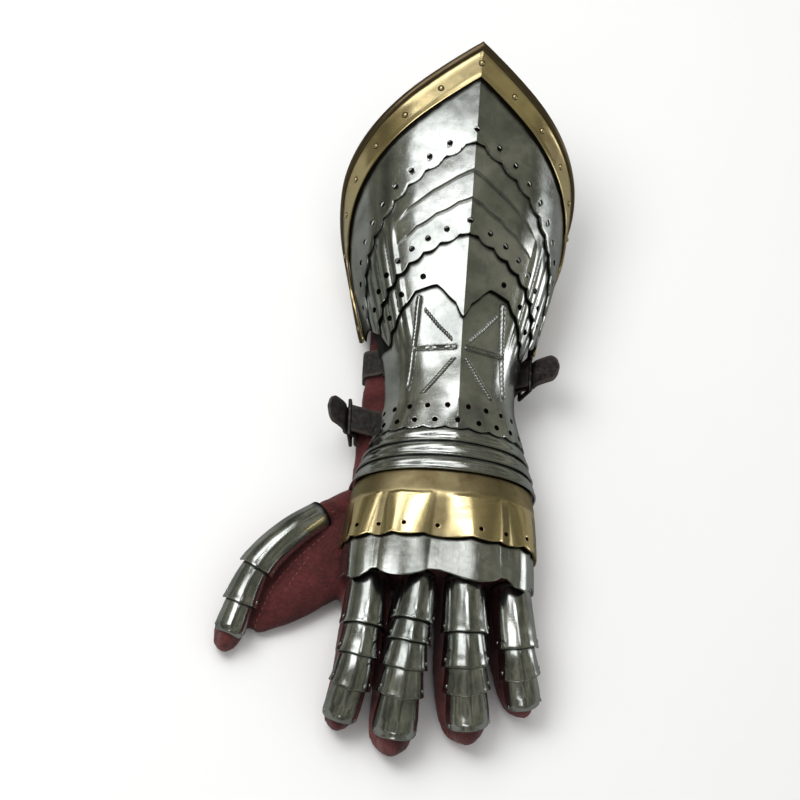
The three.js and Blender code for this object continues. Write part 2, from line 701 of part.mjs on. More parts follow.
// A prism between two heights over an outline on the ground.
function prism(outline, low, high) {
  const ring = (z) => outline.map(([x, y]) => new THREE.Vector3(x, y, z));
  return solid(tubeGeometry([ring(low), ring(high)]));
}

// The glove comes as its body, four fingers and the thumb, so that each hollow has a piece of its own.
function addGlove() {
  const whole = gloveBody(0).subtract(gloveBody(leatherThick));
  const thumbRegion = (gap) => prism(thumbCut.map(([x, y]) => [x + gap, y - gap]), -5, 90);
  addPiece('glove_thumb', geometryOf(whole.intersect(thumbRegion(0))), 'leather');
  const rest = whole.subtract(thumbRegion(gloveSeam));
  const parts = rest.trimByPlane([0, -1, 0], -fingerCut + gloveSeam).decompose();
  const left = (part) => part.boundingBox().min[0];
  parts.sort((a, b) => left(a) - left(b));
  parts.forEach((part, k) => addPiece(`glove_${fingers[k].name}`, geometryOf(part), 'leather'));
  addPiece('glove', geometryOf(rest.trimByPlane([0, 1, 0], fingerCut)), 'leather');
}

addGlove();

// ---- straps ----
// A band along a path across the arm: each step gives its inner and outer points at a place along the arm.
function bandGeometry(path, y, width) {
  const face = (key) => (i, j) => path[i](y + (width * (j - 1)) / 2)[key];
  return sheetGeometry(face('outer'), face('inner'), path.length - 1, 2);
}

// Steps of a strap round the glove between two angles, by way of the glove's own corners.
function aroundGlove(side, from, to) {
  const corners = [...bodyCorners.map((angle) => angle - 360), ...bodyCorners];
  const inside = corners.filter((angle) => angle > Math.min(from, to) && angle < Math.max(from, to));
  if (to < from) inside.reverse();
  return [from, ...inside, to].map((angle) => (y) => {
    const row = { ...rowAt(bodyRows, y), y };
    return {
      inner: bodyPoint(row, side * angle, -strapGap),
      outer: bodyPoint(row, side * angle, -strapGap - strapThick),
    };
  });
}

function addStrap({ name, y, side, buckleAngle }) {
  const row = { ...rowAt(bodyRows, y), y };
  const seat = bodyPoint(row, side * buckleAngle, -strapGap - strapThick);
  const up = new THREE.Vector3(side * Math.sin(buckleLean * degree), 0, Math.cos(buckleLean * degree));
  const out = new THREE.Vector3(side * up.z, 0, -side * up.x);
  const local = (s, n, place = y) => {
    const point = seat.clone().addScaledVector(up, s).addScaledVector(out, n);
    point.y = place;
    return point;
  };
  // The free end, by the way up the strap and out from it: under the front bar, over the heel bar and away.
  const loose = [[3.2, 0.2], [9, 4.9], [15, 5.6], [22, 8.5], [29, 13]];
  const hang = (steps) => steps.map(([s, n]) => (place) => ({
    inner: local(s, n - strapThick, place), outer: local(s, n, place),
  }));
  const around = aroundGlove(side, -86, buckleAngle - 360);
  addPiece(`${name}_strap`, bandGeometry([...around, ...hang(loose)], y, strapWidth), 'strap');
  const heel = (place) => ({ inner: local(11.8, 0.4, place), outer: local(13.4, 0.4, place) });
  const chape = [...aroundGlove(side, 86, 110), heel];
  addPiece(`${name}_chape`, bandGeometry(chape, y, strapWidth), 'strap');

  const { half, long, bar } = buckle;
  const frame = new THREE.Shape();
  frame.moveTo(-half, 0).lineTo(half, 0).lineTo(half, long).lineTo(-half, long).closePath();
  const opening = new THREE.Path();
  opening.moveTo(bar - half, bar).lineTo(bar - half, long - bar).lineTo(half - bar, long - bar)
    .lineTo(half - bar, bar).closePath();
  frame.holes.push(opening);
  const toPlace = new THREE.Matrix4().makeBasis(new THREE.Vector3(0, side, 0), up, out);
  const ring = new THREE.ExtrudeGeometry(frame, { depth: buckle.thick, bevelEnabled: false });
  ring.applyMatrix4(toPlace.clone().setPosition(local(-3, 0.8)));
  addPiece(`${name}_buckle`, ring, 'blackIron');
  const tongue = new THREE.BoxGeometry(...tongueSize);
  tongue.applyMatrix4(toPlace.clone().setPosition(local(0.8, 3.6)));
  addPiece(`${name}_tongue`, tongue, 'blackIron');
}

straps.forEach(addStrap);

// The origin lies on the ground under the middle of the gauntlet's box.
const box = new THREE.Box3().setFromObject(gauntlet);
const centre = box.getCenter(new THREE.Vector3());
gauntlet.position.set(-centre.x, -centre.y, -box.min.z);

export default gauntlet;
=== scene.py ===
import math
from bisect import bisect_right
from contextlib import contextmanager
import bpy
from mathutils import Matrix, Vector, noise
from mathutils.bvhtree import BVHTree


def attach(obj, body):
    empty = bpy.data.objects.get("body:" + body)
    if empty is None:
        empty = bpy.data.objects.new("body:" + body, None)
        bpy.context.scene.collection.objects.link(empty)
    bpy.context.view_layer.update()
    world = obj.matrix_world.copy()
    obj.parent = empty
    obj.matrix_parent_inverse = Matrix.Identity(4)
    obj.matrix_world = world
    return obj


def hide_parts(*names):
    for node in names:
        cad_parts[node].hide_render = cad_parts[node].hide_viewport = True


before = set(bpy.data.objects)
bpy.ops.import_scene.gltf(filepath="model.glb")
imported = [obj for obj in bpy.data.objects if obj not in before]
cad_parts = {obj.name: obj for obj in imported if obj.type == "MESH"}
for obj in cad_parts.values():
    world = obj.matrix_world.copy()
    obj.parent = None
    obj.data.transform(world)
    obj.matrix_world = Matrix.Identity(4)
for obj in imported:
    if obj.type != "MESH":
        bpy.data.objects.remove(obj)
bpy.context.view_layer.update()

mm = 0.001
layout = {"originX": 27.201, "originY": 1.732}  # from the wrist's narrowest line to the middle of the box

# the skin that carries every plate, in millimetres from the wrist's narrowest line
skinRows = [  # y, wide, top, mid, drop, square, shift, keel
    (-118, 55.0, 50.5, 19, 26, 0.76, -3.5, 0),
    (-86, 56.5, 54.0, 20, 28, 0.78, -2.5, 0),
    (-50, 53.5, 56.5, 23, 30, 0.86, -1.0, 0),
    (-22, 44.5, 58.5, 27, 34, 0.95, 0, 1.2),
    (0, 38.5, 60.0, 29, 38, 1, 0, 3.0),
    (24, 40.0, 62.0, 31, 46, 1, 0, 3.2),
    (50, 46.5, 66.0, 33, 58, 1, 0, 3.6),
    (88, 55.5, 74.5, 35, 68, 1, 0, 4.4),
    (125, 60.5, 82.5, 37, 76, 1, 0, 4.8),
    (160, 63.0, 90.0, 40, 80, 1, 0, 5.0),
    (200, 65.0, 97.5, 44, 84, 1, 0, 5.0),
]
keelHalfAngle = 27
cuffDegree = 1.08  # millimetres round the cuff for one degree
wristDegree = 0.75  # and round the wrist
plate = {"thick": 1.2, "stepOut": 1.9, "lameTilt": 2.4, "lameOverlap": 4.2, "holeRadius": 1.7, "bevel": 0.28,
         "fingerTilt": 2.5, "fingerOverlap": 3, "fingerHalfAngle": 84, "fingerBevel": 0.3}


def rowAt(rows, y):
    # a table of rows read as smooth curves over its first column
    last = len(rows) - 1
    where = min(max(y, rows[0][0]), rows[last][0])
    k = 0
    while k < last - 1 and rows[k + 1][0] < where:
        k += 1
    span = rows[k + 1][0] - rows[k][0]
    t = (where - rows[k][0]) / span
    before, after = rows[max(k - 1, 0)], rows[min(k + 2, last)]
    found = [y]
    for column in range(1, len(rows[0])):
        start, end = rows[k][column], rows[k + 1][column]
        leave = (end - before[column]) / (rows[k + 1][0] - before[0]) * span
        arrive = (after[column] - start) / (after[0] - rows[k][0]) * span
        found.append(start + t * leave + t * t * (3 * (end - start) - 2 * leave - arrive)
                     + t ** 3 * (leave + arrive - 2 * (end - start)))
    return found


def straightAt(rows, value):
    # a table of rows read along straight lines
    k = 0
    while k < len(rows) - 2 and rows[k + 1][0] < value:
        k += 1
    share = (value - rows[k][0]) / (rows[k + 1][0] - rows[k][0])
    return [a + (b - a) * share for a, b in zip(rows[k], rows[k + 1])]


skinCache = {}


def skinRow(y):
    key = round(y, 2)
    if key not in skinCache:
        skinCache[key] = rowAt(skinRows, y)
    return skinCache[key]


def power(value, exponent):
    return math.copysign(abs(value) ** exponent, value)


def smooth(low, high, value):
    t = min(max((value - low) / (high - low), 0), 1)
    return t * t * (3 - 2 * t)


def skin(y, angle, out=0.0):
    _, wide, top, mid, drop, square, shift, keel = skinRow(y)
    s, c = math.sin(math.radians(angle)), math.cos(math.radians(angle))
    tall = (top - mid if c > 0 else drop) + out
    fall = max(0, 1 - abs(angle) / keelHalfAngle)
    return Vector((shift + (wide + out) * power(s, square), y, mid + tall * power(c, square) + keel * fall * fall))


def inFrame(point):
    return Vector(((point.x + layout["originX"]) * mm, (point.y + layout["originY"]) * mm, point.z * mm))


def outward(y, angle, out=0.0):
    along = skin(y + 0.5, angle, out) - skin(y - 0.5, angle, out)
    across = skin(y, angle + 0.5, out) - skin(y, angle - 0.5, out)
    normal = across.cross(along)
    return (normal if normal.dot(skin(y, angle, out + 5) - skin(y, angle, out)) > 0 else -normal).normalized()


def curveThrough(marks, steps, evenness=0.0, carriedOn=True):
    # points on a smooth line through the marks; evenness 0.5 stops it from swinging wide where marks are uneven
    last = len(marks) - 1
    first = 2 * marks[0] - marks[1] if carriedOn else marks[0]
    final = 2 * marks[last] - marks[last - 1] if carriedOn else marks[last]
    line = [first, *marks, final]
    points = []
    for step in range(steps + 1):
        p = last * step / steps
        k = min(int(p), last - 1)
        w = p - k
        p0, p1, p2, p3 = line[k:k + 4]
        d0, d1, d2 = (p1 - p0).length ** evenness, (p2 - p1).length ** evenness, (p3 - p2).length ** evenness
        leave = ((p1 - p0) / d0 - (p2 - p0) / (d0 + d1) + (p2 - p1) / d1) * d1
        arrive = ((p2 - p1) / d1 - (p3 - p1) / (d1 + d2) + (p3 - p2) / d2) * d1
        points.append(p1 + leave * w + (-3 * p1 + 3 * p2 - 2 * leave - arrive) * w * w
                      + (2 * p1 - 2 * p2 + leave + arrive) * w ** 3)
    return points


def lineReader(points):
    # reads a list of points as one line, by the share of its length
    lengths = [0]
    for a, b in zip(points, points[1:]):
        lengths.append(lengths[-1] + (b - a).length)

    def read(t):
        goal = t * lengths[-1]
        low = min(max(bisect_right(lengths, goal) - 1, 0), len(points) - 2)
        return points[low].lerp(points[low + 1], (goal - lengths[low]) / (lengths[low + 1] - lengths[low]))
    return read, lengths[-1]


def edgeLine(corners):
    # a smooth edge in the unrolled cuff; t runs from -1 over the keel to 1 and up moves square to the line
    marks = [Vector((angle * cuffDegree, y)) for angle, y in corners]
    read, _ = lineReader(curveThrough(marks, 600, carriedOn=False))

    def at(t, up=0.0):
        t0 = abs(t)
        spot = read(t0)
        along = (read(min(t0 + 0.001, 1)) - read(max(t0 - 0.001, 0))).normalized()
        blend = smooth(0, 0.012, t0)  # the two sides meet on the keel
        x = (spot.x - along.y * up) * blend
        y = spot.y + up * (1 - blend) + along.x * up * blend
        return math.copysign(x, t) / cuffDegree, y
    return at


# small modelling steps
def deselectAll():
    if bpy.context.object and bpy.context.object.mode != 'OBJECT':
        bpy.ops.object.mode_set(mode='OBJECT')
    bpy.ops.object.select_all(action='DESELECT')


def makeActive(piece):
    deselectAll()
    piece.select_set(True)
    bpy.context.view_layer.objects.active = piece


@contextmanager
def editing(piece):
    # edit mode with everything selected, left again at the end
    makeActive(piece)
    bpy.ops.object.mode_set(mode='EDIT')
    bpy.ops.mesh.select_all(action='SELECT')
    yield
    bpy.ops.object.mode_set(mode='OBJECT')


def applied(piece, kind, **values):
    makeActive(piece)
    bpy.ops.object.modifier_add(type=kind)
    modifier = piece.modifiers[-1]
    for name, value in values.items():
        setattr(modifier, name, value)
    bpy.ops.object.modifier_apply(modifier=modifier.name)


def thickened(piece, thick, **more):
    applied(piece, 'SOLIDIFY', thickness=thick * mm, offset=-1, use_even_offset=False, **more)


def bevelled(piece, width, segments, angle):
    applied(piece, 'BEVEL', width=width * mm, segments=segments, limit_method='ANGLE',
            angle_limit=math.radians(angle))


def joined(pieces):
    makeActive(pieces[0])
    for piece in pieces:
        piece.select_set(True)
    if len(pieces) > 1:
        bpy.ops.object.join()
    return pieces[0]


def smoothed(piece, angle=30):
    makeActive(piece)
    bpy.ops.object.shade_smooth_by_angle(angle=math.radians(angle))


def settled(piece, name, materials, nodes=()):
    # the last step of every piece: its place goes into its mesh, and it gets its name, finish and body
    makeActive(piece)
    bpy.ops.object.transform_apply(location=True, rotation=True, scale=True)
    piece.name = piece.data.name = name
    for index, material in enumerate(materials):
        if index < len(piece.data.materials):
            piece.data.materials[index] = material
        else:
            piece.data.materials.append(material)
    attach(piece, "root")
    if nodes:
        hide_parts(*nodes)


def added(primitive, **values):
    deselectAll()
    primitive(**values)
    return bpy.context.object


def bead(segments=14, rings=8):
    return added(bpy.ops.mesh.primitive_uv_sphere_add, segments=segments, ring_count=rings, radius=mm)


def placed(point, axes, sizes=(1, 1, 1)):
    # stands a shape at a point of the frame, along three directions
    return Matrix.Translation(point) @ (Matrix(axes).transposed() @ Matrix.Diagonal(sizes)).to_4x4()


def copied(source, places):
    # one small shape, copied to every place, each copy with its own mesh, and joined
    made = []
    for place in places:
        copy = source.copy()
        copy.data = source.data.copy()
        bpy.context.collection.objects.link(copy)
        copy.matrix_world = place
        made.append(copy)
    bpy.data.objects.remove(source, do_unlink=True)
    return joined(made)


def gridSheet(columns, rows, pointAt):
    # a flat grid bent to shape: pointAt takes t from -1 to 1 and v from 0 to 1
    piece = added(bpy.ops.mesh.primitive_grid_add, x_subdivisions=columns, y_subdivisions=rows, size=1)
    places = []
    for vertex in piece.data.vertices:
        t, v = round(2 * vertex.co.x, 6), round(0.5 - vertex.co.y, 6)
        places.append((t, v))
        vertex.co = inFrame(pointAt(t, v))
    piece.data.update()
    return piece, places


def faceOut(piece, centre):
    turned = sum(1 if face.normal.dot(face.center - centre) > 0 else -1 for face in piece.data.polygons)
    if turned < 0:
        with editing(piece):
            bpy.ops.mesh.flip_normals()


def markPiece(piece, name, values):
    attribute = piece.data.attributes.new(name, 'FLOAT', 'POINT')
    for index, value in enumerate(values):
        attribute.data[index].value = value


def drilled(piece, spots, radius):
    # round holes through a plate; a spot is a point and the direction out of the plate
    cutter = joined([added(bpy.ops.mesh.primitive_cylinder_add, vertices=16, radius=radius * mm, depth=7 * mm,
                           location=inFrame(point), rotation=direction.to_track_quat('Z', 'Y').to_euler())
                     for point, direction in spots])
    applied(piece, 'BOOLEAN', object=cutter, operation='DIFFERENCE', solver='MANIFOLD')
    bpy.data.objects.remove(cutter, do_unlink=True)


def plateFrom(columns, rows, pointAt, spots=(), holeRadius=plate["holeRadius"], marks=None, bevel=plate["bevel"],
              middle=Vector((0, 0, 20)), sharp=30):
    # one metal plate: a bent sheet with its thickness inwards, its holes and its softened edges
    piece, places = gridSheet(columns, rows, pointAt)
    for name, rule in (marks or {}).items():
        markPiece(piece, name, [rule(t, v) for t, v in places])
    faceOut(piece, inFrame(middle))
    thickened(piece, plate["thick"], material_offset_rim=1)
    piece.data.materials.append(None)
    piece.data.materials.append(None)
    if spots:
        drilled(piece, spots, holeRadius)
    bevelled(piece, bevel, 2, 58)
    smoothed(piece, sharp)
    return piece


# materials
class Wire:
    def __init__(self, graph, socket):
        self.graph, self.socket = graph, socket

    def __add__(self, other): return self.graph.math('ADD', self, other)
    def __radd__(self, other): return self.graph.math('ADD', other, self)
    def __sub__(self, other): return self.graph.math('SUBTRACT', self, other)
    def __rsub__(self, other): return self.graph.math('SUBTRACT', other, self)
    def __mul__(self, other): return self.graph.math('MULTIPLY', self, other)
    def __rmul__(self, other): return self.graph.math('MULTIPLY', other, self)
    def __abs__(self): return self.graph.math('ABSOLUTE', self)

    def capped(self): return self.graph.math('MINIMUM', self, 1.0)

    def between(self, low, high):
        node = self.graph.node('ShaderNodeMapRange', {"interpolation_type": 'SMOOTHSTEP'},
                               {"Value": self, "From Min": low, "From Max": high, "To Min": 0.0, "To Max": 1.0})
        return Wire(self.graph, node.outputs[0])


class Graph:
    def __init__(self, tree):
        self.tree = tree

    def node(self, kind, settings=None, inputs=None):
        made = self.tree.nodes.new(kind)
        for name, value in (settings or {}).items():
            setattr(made, name, value)
        for name, value in (inputs or {}).items():
            self.feed(made.inputs[name], value)
        return made

    def feed(self, socket, value):
        if isinstance(value, Wire):
            self.tree.links.new(value.socket, socket)
        elif isinstance(value, (tuple, list)) and len(value) == 3 and socket.type == 'RGBA':
            socket.default_value = (*value, 1)
        else:
            socket.default_value = value

    def math(self, operation, *values):
        node = self.node('ShaderNodeMath', {"operation": operation}, dict(enumerate(values)))
        return Wire(self, node.outputs[0])

    def shifted(self, at, offset):
        node = self.node('ShaderNodeVectorMath', {"operation": 'ADD'}, {0: at, 1: offset})
        return Wire(self, node.outputs[0])

    def mixed(self, share, start, end):
        node = self.node('ShaderNodeMix', {"data_type": 'RGBA', "blend_type": 'MIX'}, {0: share, 6: start, 7: end})
        return Wire(self, node.outputs[2])

    def place(self, kind='Object'):
        return Wire(self, self.node('ShaderNodeTexCoord').outputs[kind])

    def stretched(self, at, scale):
        node = self.node('ShaderNodeMapping', {}, {"Vector": at, "Scale": scale})
        return Wire(self, node.outputs[0])

    def noise(self, at, scale, detail=3.0, rough=0.5, twist=0.0):
        node = self.node('ShaderNodeTexNoise', {}, {"Vector": at, "Scale": scale, "Detail": detail,
                                                    "Roughness": rough, "Distortion": twist})
        return Wire(self, node.outputs[0])

    def cells(self, at, scale, feature='F1'):
        node = self.node('ShaderNodeTexVoronoi', {"feature": feature}, {"Vector": at, "Scale": scale})
        return Wire(self, node.outputs[0])

    def mark(self, name):
        return Wire(self, self.node('ShaderNodeAttribute', {"attribute_name": name}).outputs[2])


class Finish(Graph):
    def __init__(self, name, **constants):
        self.material = bpy.data.materials.new(name)
        self.material.use_nodes = True
        super().__init__(self.material.node_tree)
        self.shader = self.tree.nodes['Principled BSDF']
        self.put(**constants)

    def put(self, **values):
        for key, value in values.items():
            self.feed(self.shader.inputs[key.replace('_', ' ')], value)

    def bump(self, height, distance, strength=1.0, under=None):
        inputs = {"Height": height, "Distance": distance, "Strength": strength}
        if under:
            inputs["Normal"] = under
        return Wire(self, self.node('ShaderNodeBump', {}, inputs).outputs[0])


steelLook = {"bright": (0.60, 0.62, 0.61), "smoky": (0.24, 0.26, 0.245), "rust": (0.13, 0.11, 0.09),
             "shadeTone": (0.022, 0.021, 0.018), "roughness": 0.11, "dent": 0.00045, "scratch": 0.000012}


def steelMaterial():
    finish = Finish("polishedSteel", Metallic=1.0)
    at = finish.place()
    cloud = finish.noise(at, 26, 4, 0.55, 0.6)
    smudge = finish.noise(at, 95, 5, 0.6, 0.4)
    pits = finish.noise(at, 1500, 2, 0.7).between(0.66, 0.8)
    along = finish.noise(finish.stretched(at, (2600, 90, 600)), 1, 2, 0.6).between(0.60, 0.72)
    across = finish.noise(finish.stretched(at, (150, 2400, 500)), 1, 2, 0.6).between(0.62, 0.74)
    # painted shade: the plates are darkened under overlapping edges, in grooves and along rib feet, mottled by the
    # smudges
    paintedShade = finish.mark("paintedShade")
    shadeShare = (paintedShade * 1.15 + paintedShade * smudge.between(0.35, 0.65) * 0.4).capped()
    stain = cloud.between(0.35, 0.70) * 0.7 + smudge.between(0.45, 0.72) * 0.3
    tone = finish.mixed(stain, steelLook["bright"], steelLook["smoky"])
    tone = finish.mixed(pits * 0.35, tone, steelLook["rust"])
    finish.put(Base_Color=finish.mixed(shadeShare, tone, steelLook["shadeTone"]),
               Roughness=steelLook["roughness"] + cloud * 0.07 + smudge * 0.06 + along * 0.07 + across * 0.05
               + shadeShare * 0.4)
    dents = finish.noise(at, 42, 2, 0.45) + finish.noise(at, 260, 3, 0.5) * 0.05
    hammered = finish.bump(dents, steelLook["dent"])
    finish.put(Normal=finish.bump(along + across + pits * -1.0, steelLook["scratch"], 0.7, hammered))
    return finish.material


brassLook = {"bright": (0.88, 0.73, 0.40), "tarnish": (0.42, 0.27, 0.10), "rim": (0.12, 0.085, 0.055),
             "shadeTone": (0.03, 0.022, 0.012), "roughness": 0.16, "dent": 0.0002, "pit": 0.00003}


def brassMaterial():
    finish = Finish("agedBrass", Metallic=1.0)
    at = finish.place()
    cloud = finish.noise(at, 34, 4, 0.6, 0.8)
    smudge = finish.noise(at, 140, 5, 0.65, 0.3)
    spots = finish.noise(at, 620, 3, 0.7).between(0.62, 0.76)
    # painted shade: the brass is darkened in the groove by its roll and under the lame above
    paintedShade = finish.mark("paintedShade")
    rim = finish.mark("rim")
    tarnish = (cloud.between(0.42, 0.75) * 0.6 + smudge.between(0.5, 0.8) * 0.3 + spots * 0.35).capped()
    tone = finish.mixed(tarnish * 0.75, brassLook["bright"], brassLook["tarnish"])
    tone = finish.mixed(rim * 0.92, tone, brassLook["rim"])
    shadeShare = (paintedShade + paintedShade * smudge * 0.6).capped()
    finish.put(Base_Color=finish.mixed(shadeShare, tone, brassLook["shadeTone"]),
               Roughness=brassLook["roughness"] + tarnish * 0.16 + smudge * 0.06 + shadeShare * 0.35 + rim * 0.12)
    dents = finish.bump(finish.noise(at, 55, 2, 0.5) + finish.noise(at, 320, 2, 0.5) * 0.06, brassLook["dent"])
    finish.put(Normal=finish.bump(spots * -0.3 + smudge * 0.2, brassLook["pit"], 0.6, dents))
    return finish.material


edgeLook = {"dark": (0.075, 0.072, 0.066), "worn": (0.26, 0.255, 0.24), "roughness": 0.34, "nick": 0.00008}


# the plates' edge faces are painted dark: painted shade of the gap under each overlapping edge, with lighter worn
# patches
def edgeMaterial():
    finish = Finish("plateEdge", Metallic=1.0)
    worn = finish.noise(finish.place(), 400, 4, 0.6)
    finish.put(Base_Color=finish.mixed(worn.between(0.45, 0.7), edgeLook["dark"], edgeLook["worn"]),
               Roughness=edgeLook["roughness"] + worn * 0.2, Normal=finish.bump(worn, edgeLook["nick"], 0.6))
    return finish.material


leatherLook = {"deep": (0.044, 0.008, 0.008), "mid": (0.098, 0.018, 0.019), "worn": (0.165, 0.052, 0.047),
               "fold": 0.00035, "nap": 0.00012, "grainOffset": (0.31, 0.12, 0.44)}


def leatherMaterial():
    finish = Finish("redSuede", Sheen_Weight=0.12, Sheen_Roughness=0.5, Specular_IOR_Level=0.28)
    at = finish.place()
    patch = finish.noise(at, 38, 5, 0.6, 0.7)
    nap = finish.noise(at, 900, 4, 0.65)
    grain = finish.cells(finish.shifted(at, leatherLook["grainOffset"]), 620, 'DISTANCE_TO_EDGE')
    crease = abs(finish.noise(at, 120, 4, 0.6, 1.4) - 0.5).between(0.0, 0.035)
    rubbed = finish.mark("rubbed")
    tone = finish.mixed(patch.between(0.3, 0.7), leatherLook["deep"], leatherLook["mid"])
    wear = (nap.between(0.45, 0.8) * 0.35 + rubbed * patch.between(0.35, 0.6) * 0.7).capped()
    tone = finish.mixed(wear, tone, leatherLook["worn"])
    # the thin fold lines are painted darker: painted shade in the creases
    tone = finish.mixed((1.0 - crease) * 0.45, tone, leatherLook["deep"])
    finish.put(Base_Color=tone, Roughness=0.78 + nap * 0.16 - rubbed * 0.12)
    folds = finish.bump(crease, leatherLook["fold"], 0.7)
    finish.put(Normal=finish.bump(grain.between(0.0, 0.3) * 0.5 + nap * 0.8, leatherLook["nap"], 0.8, folds))
    return finish.material


bridleLook = {"deep": (0.010, 0.009, 0.0085), "mid": (0.032, 0.028, 0.026), "worn": (0.085, 0.066, 0.052),
              "roughness": 0.42, "pore": 0.00014}


def bridleMaterial():
    finish = Finish("bridleLeather", Specular_IOR_Level=0.45)
    at = finish.place()
    pores = finish.cells(at, 1100)
    grain = finish.noise(at, 420, 5, 0.6)
    scuff = finish.noise(at, 75, 5, 0.65, 0.9).between(0.5, 0.72)
    tone = finish.mixed(grain.between(0.35, 0.7), bridleLook["deep"], bridleLook["mid"])
    tone = finish.mixed((scuff * 0.35 + finish.mark("rubbed") * 0.6).capped(), tone, bridleLook["worn"])
    finish.put(Base_Color=tone, Roughness=bridleLook["roughness"] + grain * 0.2 + scuff * 0.12,
               Normal=finish.bump(pores.between(0.0, 0.5) + grain * 0.8, bridleLook["pore"], 0.8))
    return finish.material


ironLook = {"dark": (0.045, 0.044, 0.043), "worn": (0.30, 0.29, 0.27), "roughness": 0.3, "pit": 0.00012}


def ironMaterial():
    finish = Finish("blackenedIron", Metallic=1.0)
    at = finish.place()
    cloud = finish.noise(at, 210, 5, 0.65, 0.5)
    worn = finish.noise(at, 900, 4, 0.6).between(0.5, 0.75)
    bare = (cloud.between(0.5, 0.75) * 0.6 + worn * 0.3).capped()
    finish.put(Base_Color=finish.mixed(bare, ironLook["dark"], ironLook["worn"]),
               Roughness=ironLook["roughness"] + cloud * 0.25,
               Normal=finish.bump(cloud + worn * 0.5, ironLook["pit"], 0.7))
    return finish.material


threadLook = {"dark": (0.10, 0.018, 0.018), "light": (0.26, 0.07, 0.055), "scale": 900, "twist": 0.00008}


def threadMaterial():
    finish = Finish("waxedThread", Roughness=0.7, Sheen_Weight=0.2)
    strand = finish.noise(finish.stretched(finish.place(), (threadLook["scale"],) * 3), 3, 3, 0.6)
    finish.put(Base_Color=finish.mixed(strand.between(0.35, 0.7), threadLook["dark"], threadLook["light"]),
               Normal=finish.bump(strand, threadLook["twist"]))
    return finish.material


metals = {"steel": steelMaterial(), "brass": brassMaterial()}
plateEdge = edgeMaterial()
suede = leatherMaterial()
bridle = bridleMaterial()
iron = ironMaterial()
thread = threadMaterial()
print("materials ready")

# plates of the cuff
cuff = {  # each edge goes from the keel to the side, as angle and station
    "outline": [(0, 197), (30, 173.5), (60, 150), (90, 126), (106, 110), (115, 96), (117, 80), (112, 60),
                (106, 43)],
    "borderInside": [(0, 175), (30, 151.5), (50, 134), (68, 117), (84, 100), (97, 86), (103, 72), (101, 56),
                     (96, 42)],
    "rimEdge": [(0, 141), (20, 127), (38, 112), (55, 94), (70, 76), (80, 58), (84, 42)],
    "secondEdge": [(0, 89), (20, 80.5), (42, 68), (60, 54), (74, 38)],
    "thirdEdge": [(0, 42.5), (6, 50), (14, 58), (24, 60), (36, 55), (50, 44), (66, 30)],
    "rimLobes": (11, 1.9), "secondLobes": (8, 1.8), "thirdLobes": (5, 1.4),  # count on each side, depth
    "tuck": 7, "thirdHoles": (0.4, 0.61, 0.82), "chevrons": (0.42, 0.68), "chevronStep": 0.8,
}
outline, borderInside, rimEdge, secondEdge, thirdEdge = (
    edgeLine(cuff[key]) for key in ("outline", "borderInside", "rimEdge", "secondEdge", "thirdEdge"))
fluteFan = {"first": 40, "last": 84, "count": 5, "height": 0.85, "low": 22, "high": 104, "fade": (22, 24),
            "lean": 0.06}
border = {"width": 21, "rollWidth": 5.0, "rollHeight": 1.4, "sunk": 0.25, "rivets": 8, "rivetSpread": 0.95,
          "rivetPlace": 0.62, "rivetSink": 0.25, "rivetRadius": 1.55, "seatRadius": 1.95,
          "stops": [0, 0.012, 0.03, 0.055, 0.085, 0.12, 0.155, 0.185, 0.21, 0.24, 0.3, 0.4, 0.5, 0.6, 0.7, 0.8,
                    0.88, 0.94, 0.975, 1]}  # closer together over the rolled rim


def cuffLevel(step):
    return step * plate["stepOut"]


def lobes(t, count, depth):
    return depth * abs(math.cos(math.pi * count * t))


def lobeHoles(edge, count, up):
    return [edge((i - count + 1) / count, up) for i in range(2 * count - 1)]


def between(high, low):
    def at(t, v):
        a, b = high(t, v), low(t, v)
        return a[0] + (b[0] - a[0]) * v, a[1] + (b[1] - a[1]) * v
    return at


def spotsAt(places, out):
    return [(skin(y, angle, out), outward(y, angle, out)) for angle, y in places]


def cuffPlate(name, node, columns, rows, place, level, relief, marks, holes=(), metal="steel",
              holeRadius=plate["holeRadius"]):
    # relief and marks are read at t, v, angle, y
    def pointAt(t, v):
        angle, y = place(t, v)
        return skin(y, angle, level + plate["thick"] + relief(t, v, angle, y))
    rules = {key: lambda t, v, rule=rule: rule(t, v, *place(t, v)) for key, rule in marks.items()}
    piece = plateFrom(columns, rows, pointAt, spotsAt(holes, level + plate["thick"] / 2), holeRadius, rules)
    settled(piece, name, [metals[metal], plateEdge], [node])


def gothicFlutes(angle, y):
    # a fan of leaf-shaped flutes on each side, closing up towards the wrist
    share = (abs(angle) - fluteFan["first"] - (y - 60) * fluteFan["lean"]) / (fluteFan["last"] - fluteFan["first"])
    if not 0 < share < 1:
        return 0
    ridge = abs(math.sin(math.pi * fluteFan["count"] * share)) ** 0.8
    low, high, (fadeIn, fadeOut) = fluteFan["low"], fluteFan["high"], fluteFan["fade"]
    leaf = smooth(low, low + fadeIn, y) * (1 - smooth(high - fadeOut, high, y))
    return fluteFan["height"] * ridge * leaf * smooth(0, 0.08, share) * (1 - smooth(0.92, 1, share))


def rolledRim(d):
    # the section of the border's rolled rim, d millimetres in from the edge
    if d > border["rollWidth"]:
        return 0
    u = 1 - 2 * d / border["rollWidth"]
    return border["rollHeight"] * math.sqrt(max(0, 1 - u * u)) ** 0.9


def borderV(v):
    stops = border["stops"]
    k = v * (len(stops) - 1)
    low = min(int(k), len(stops) - 2)
    return stops[low] + (stops[low + 1] - stops[low]) * (k - low)


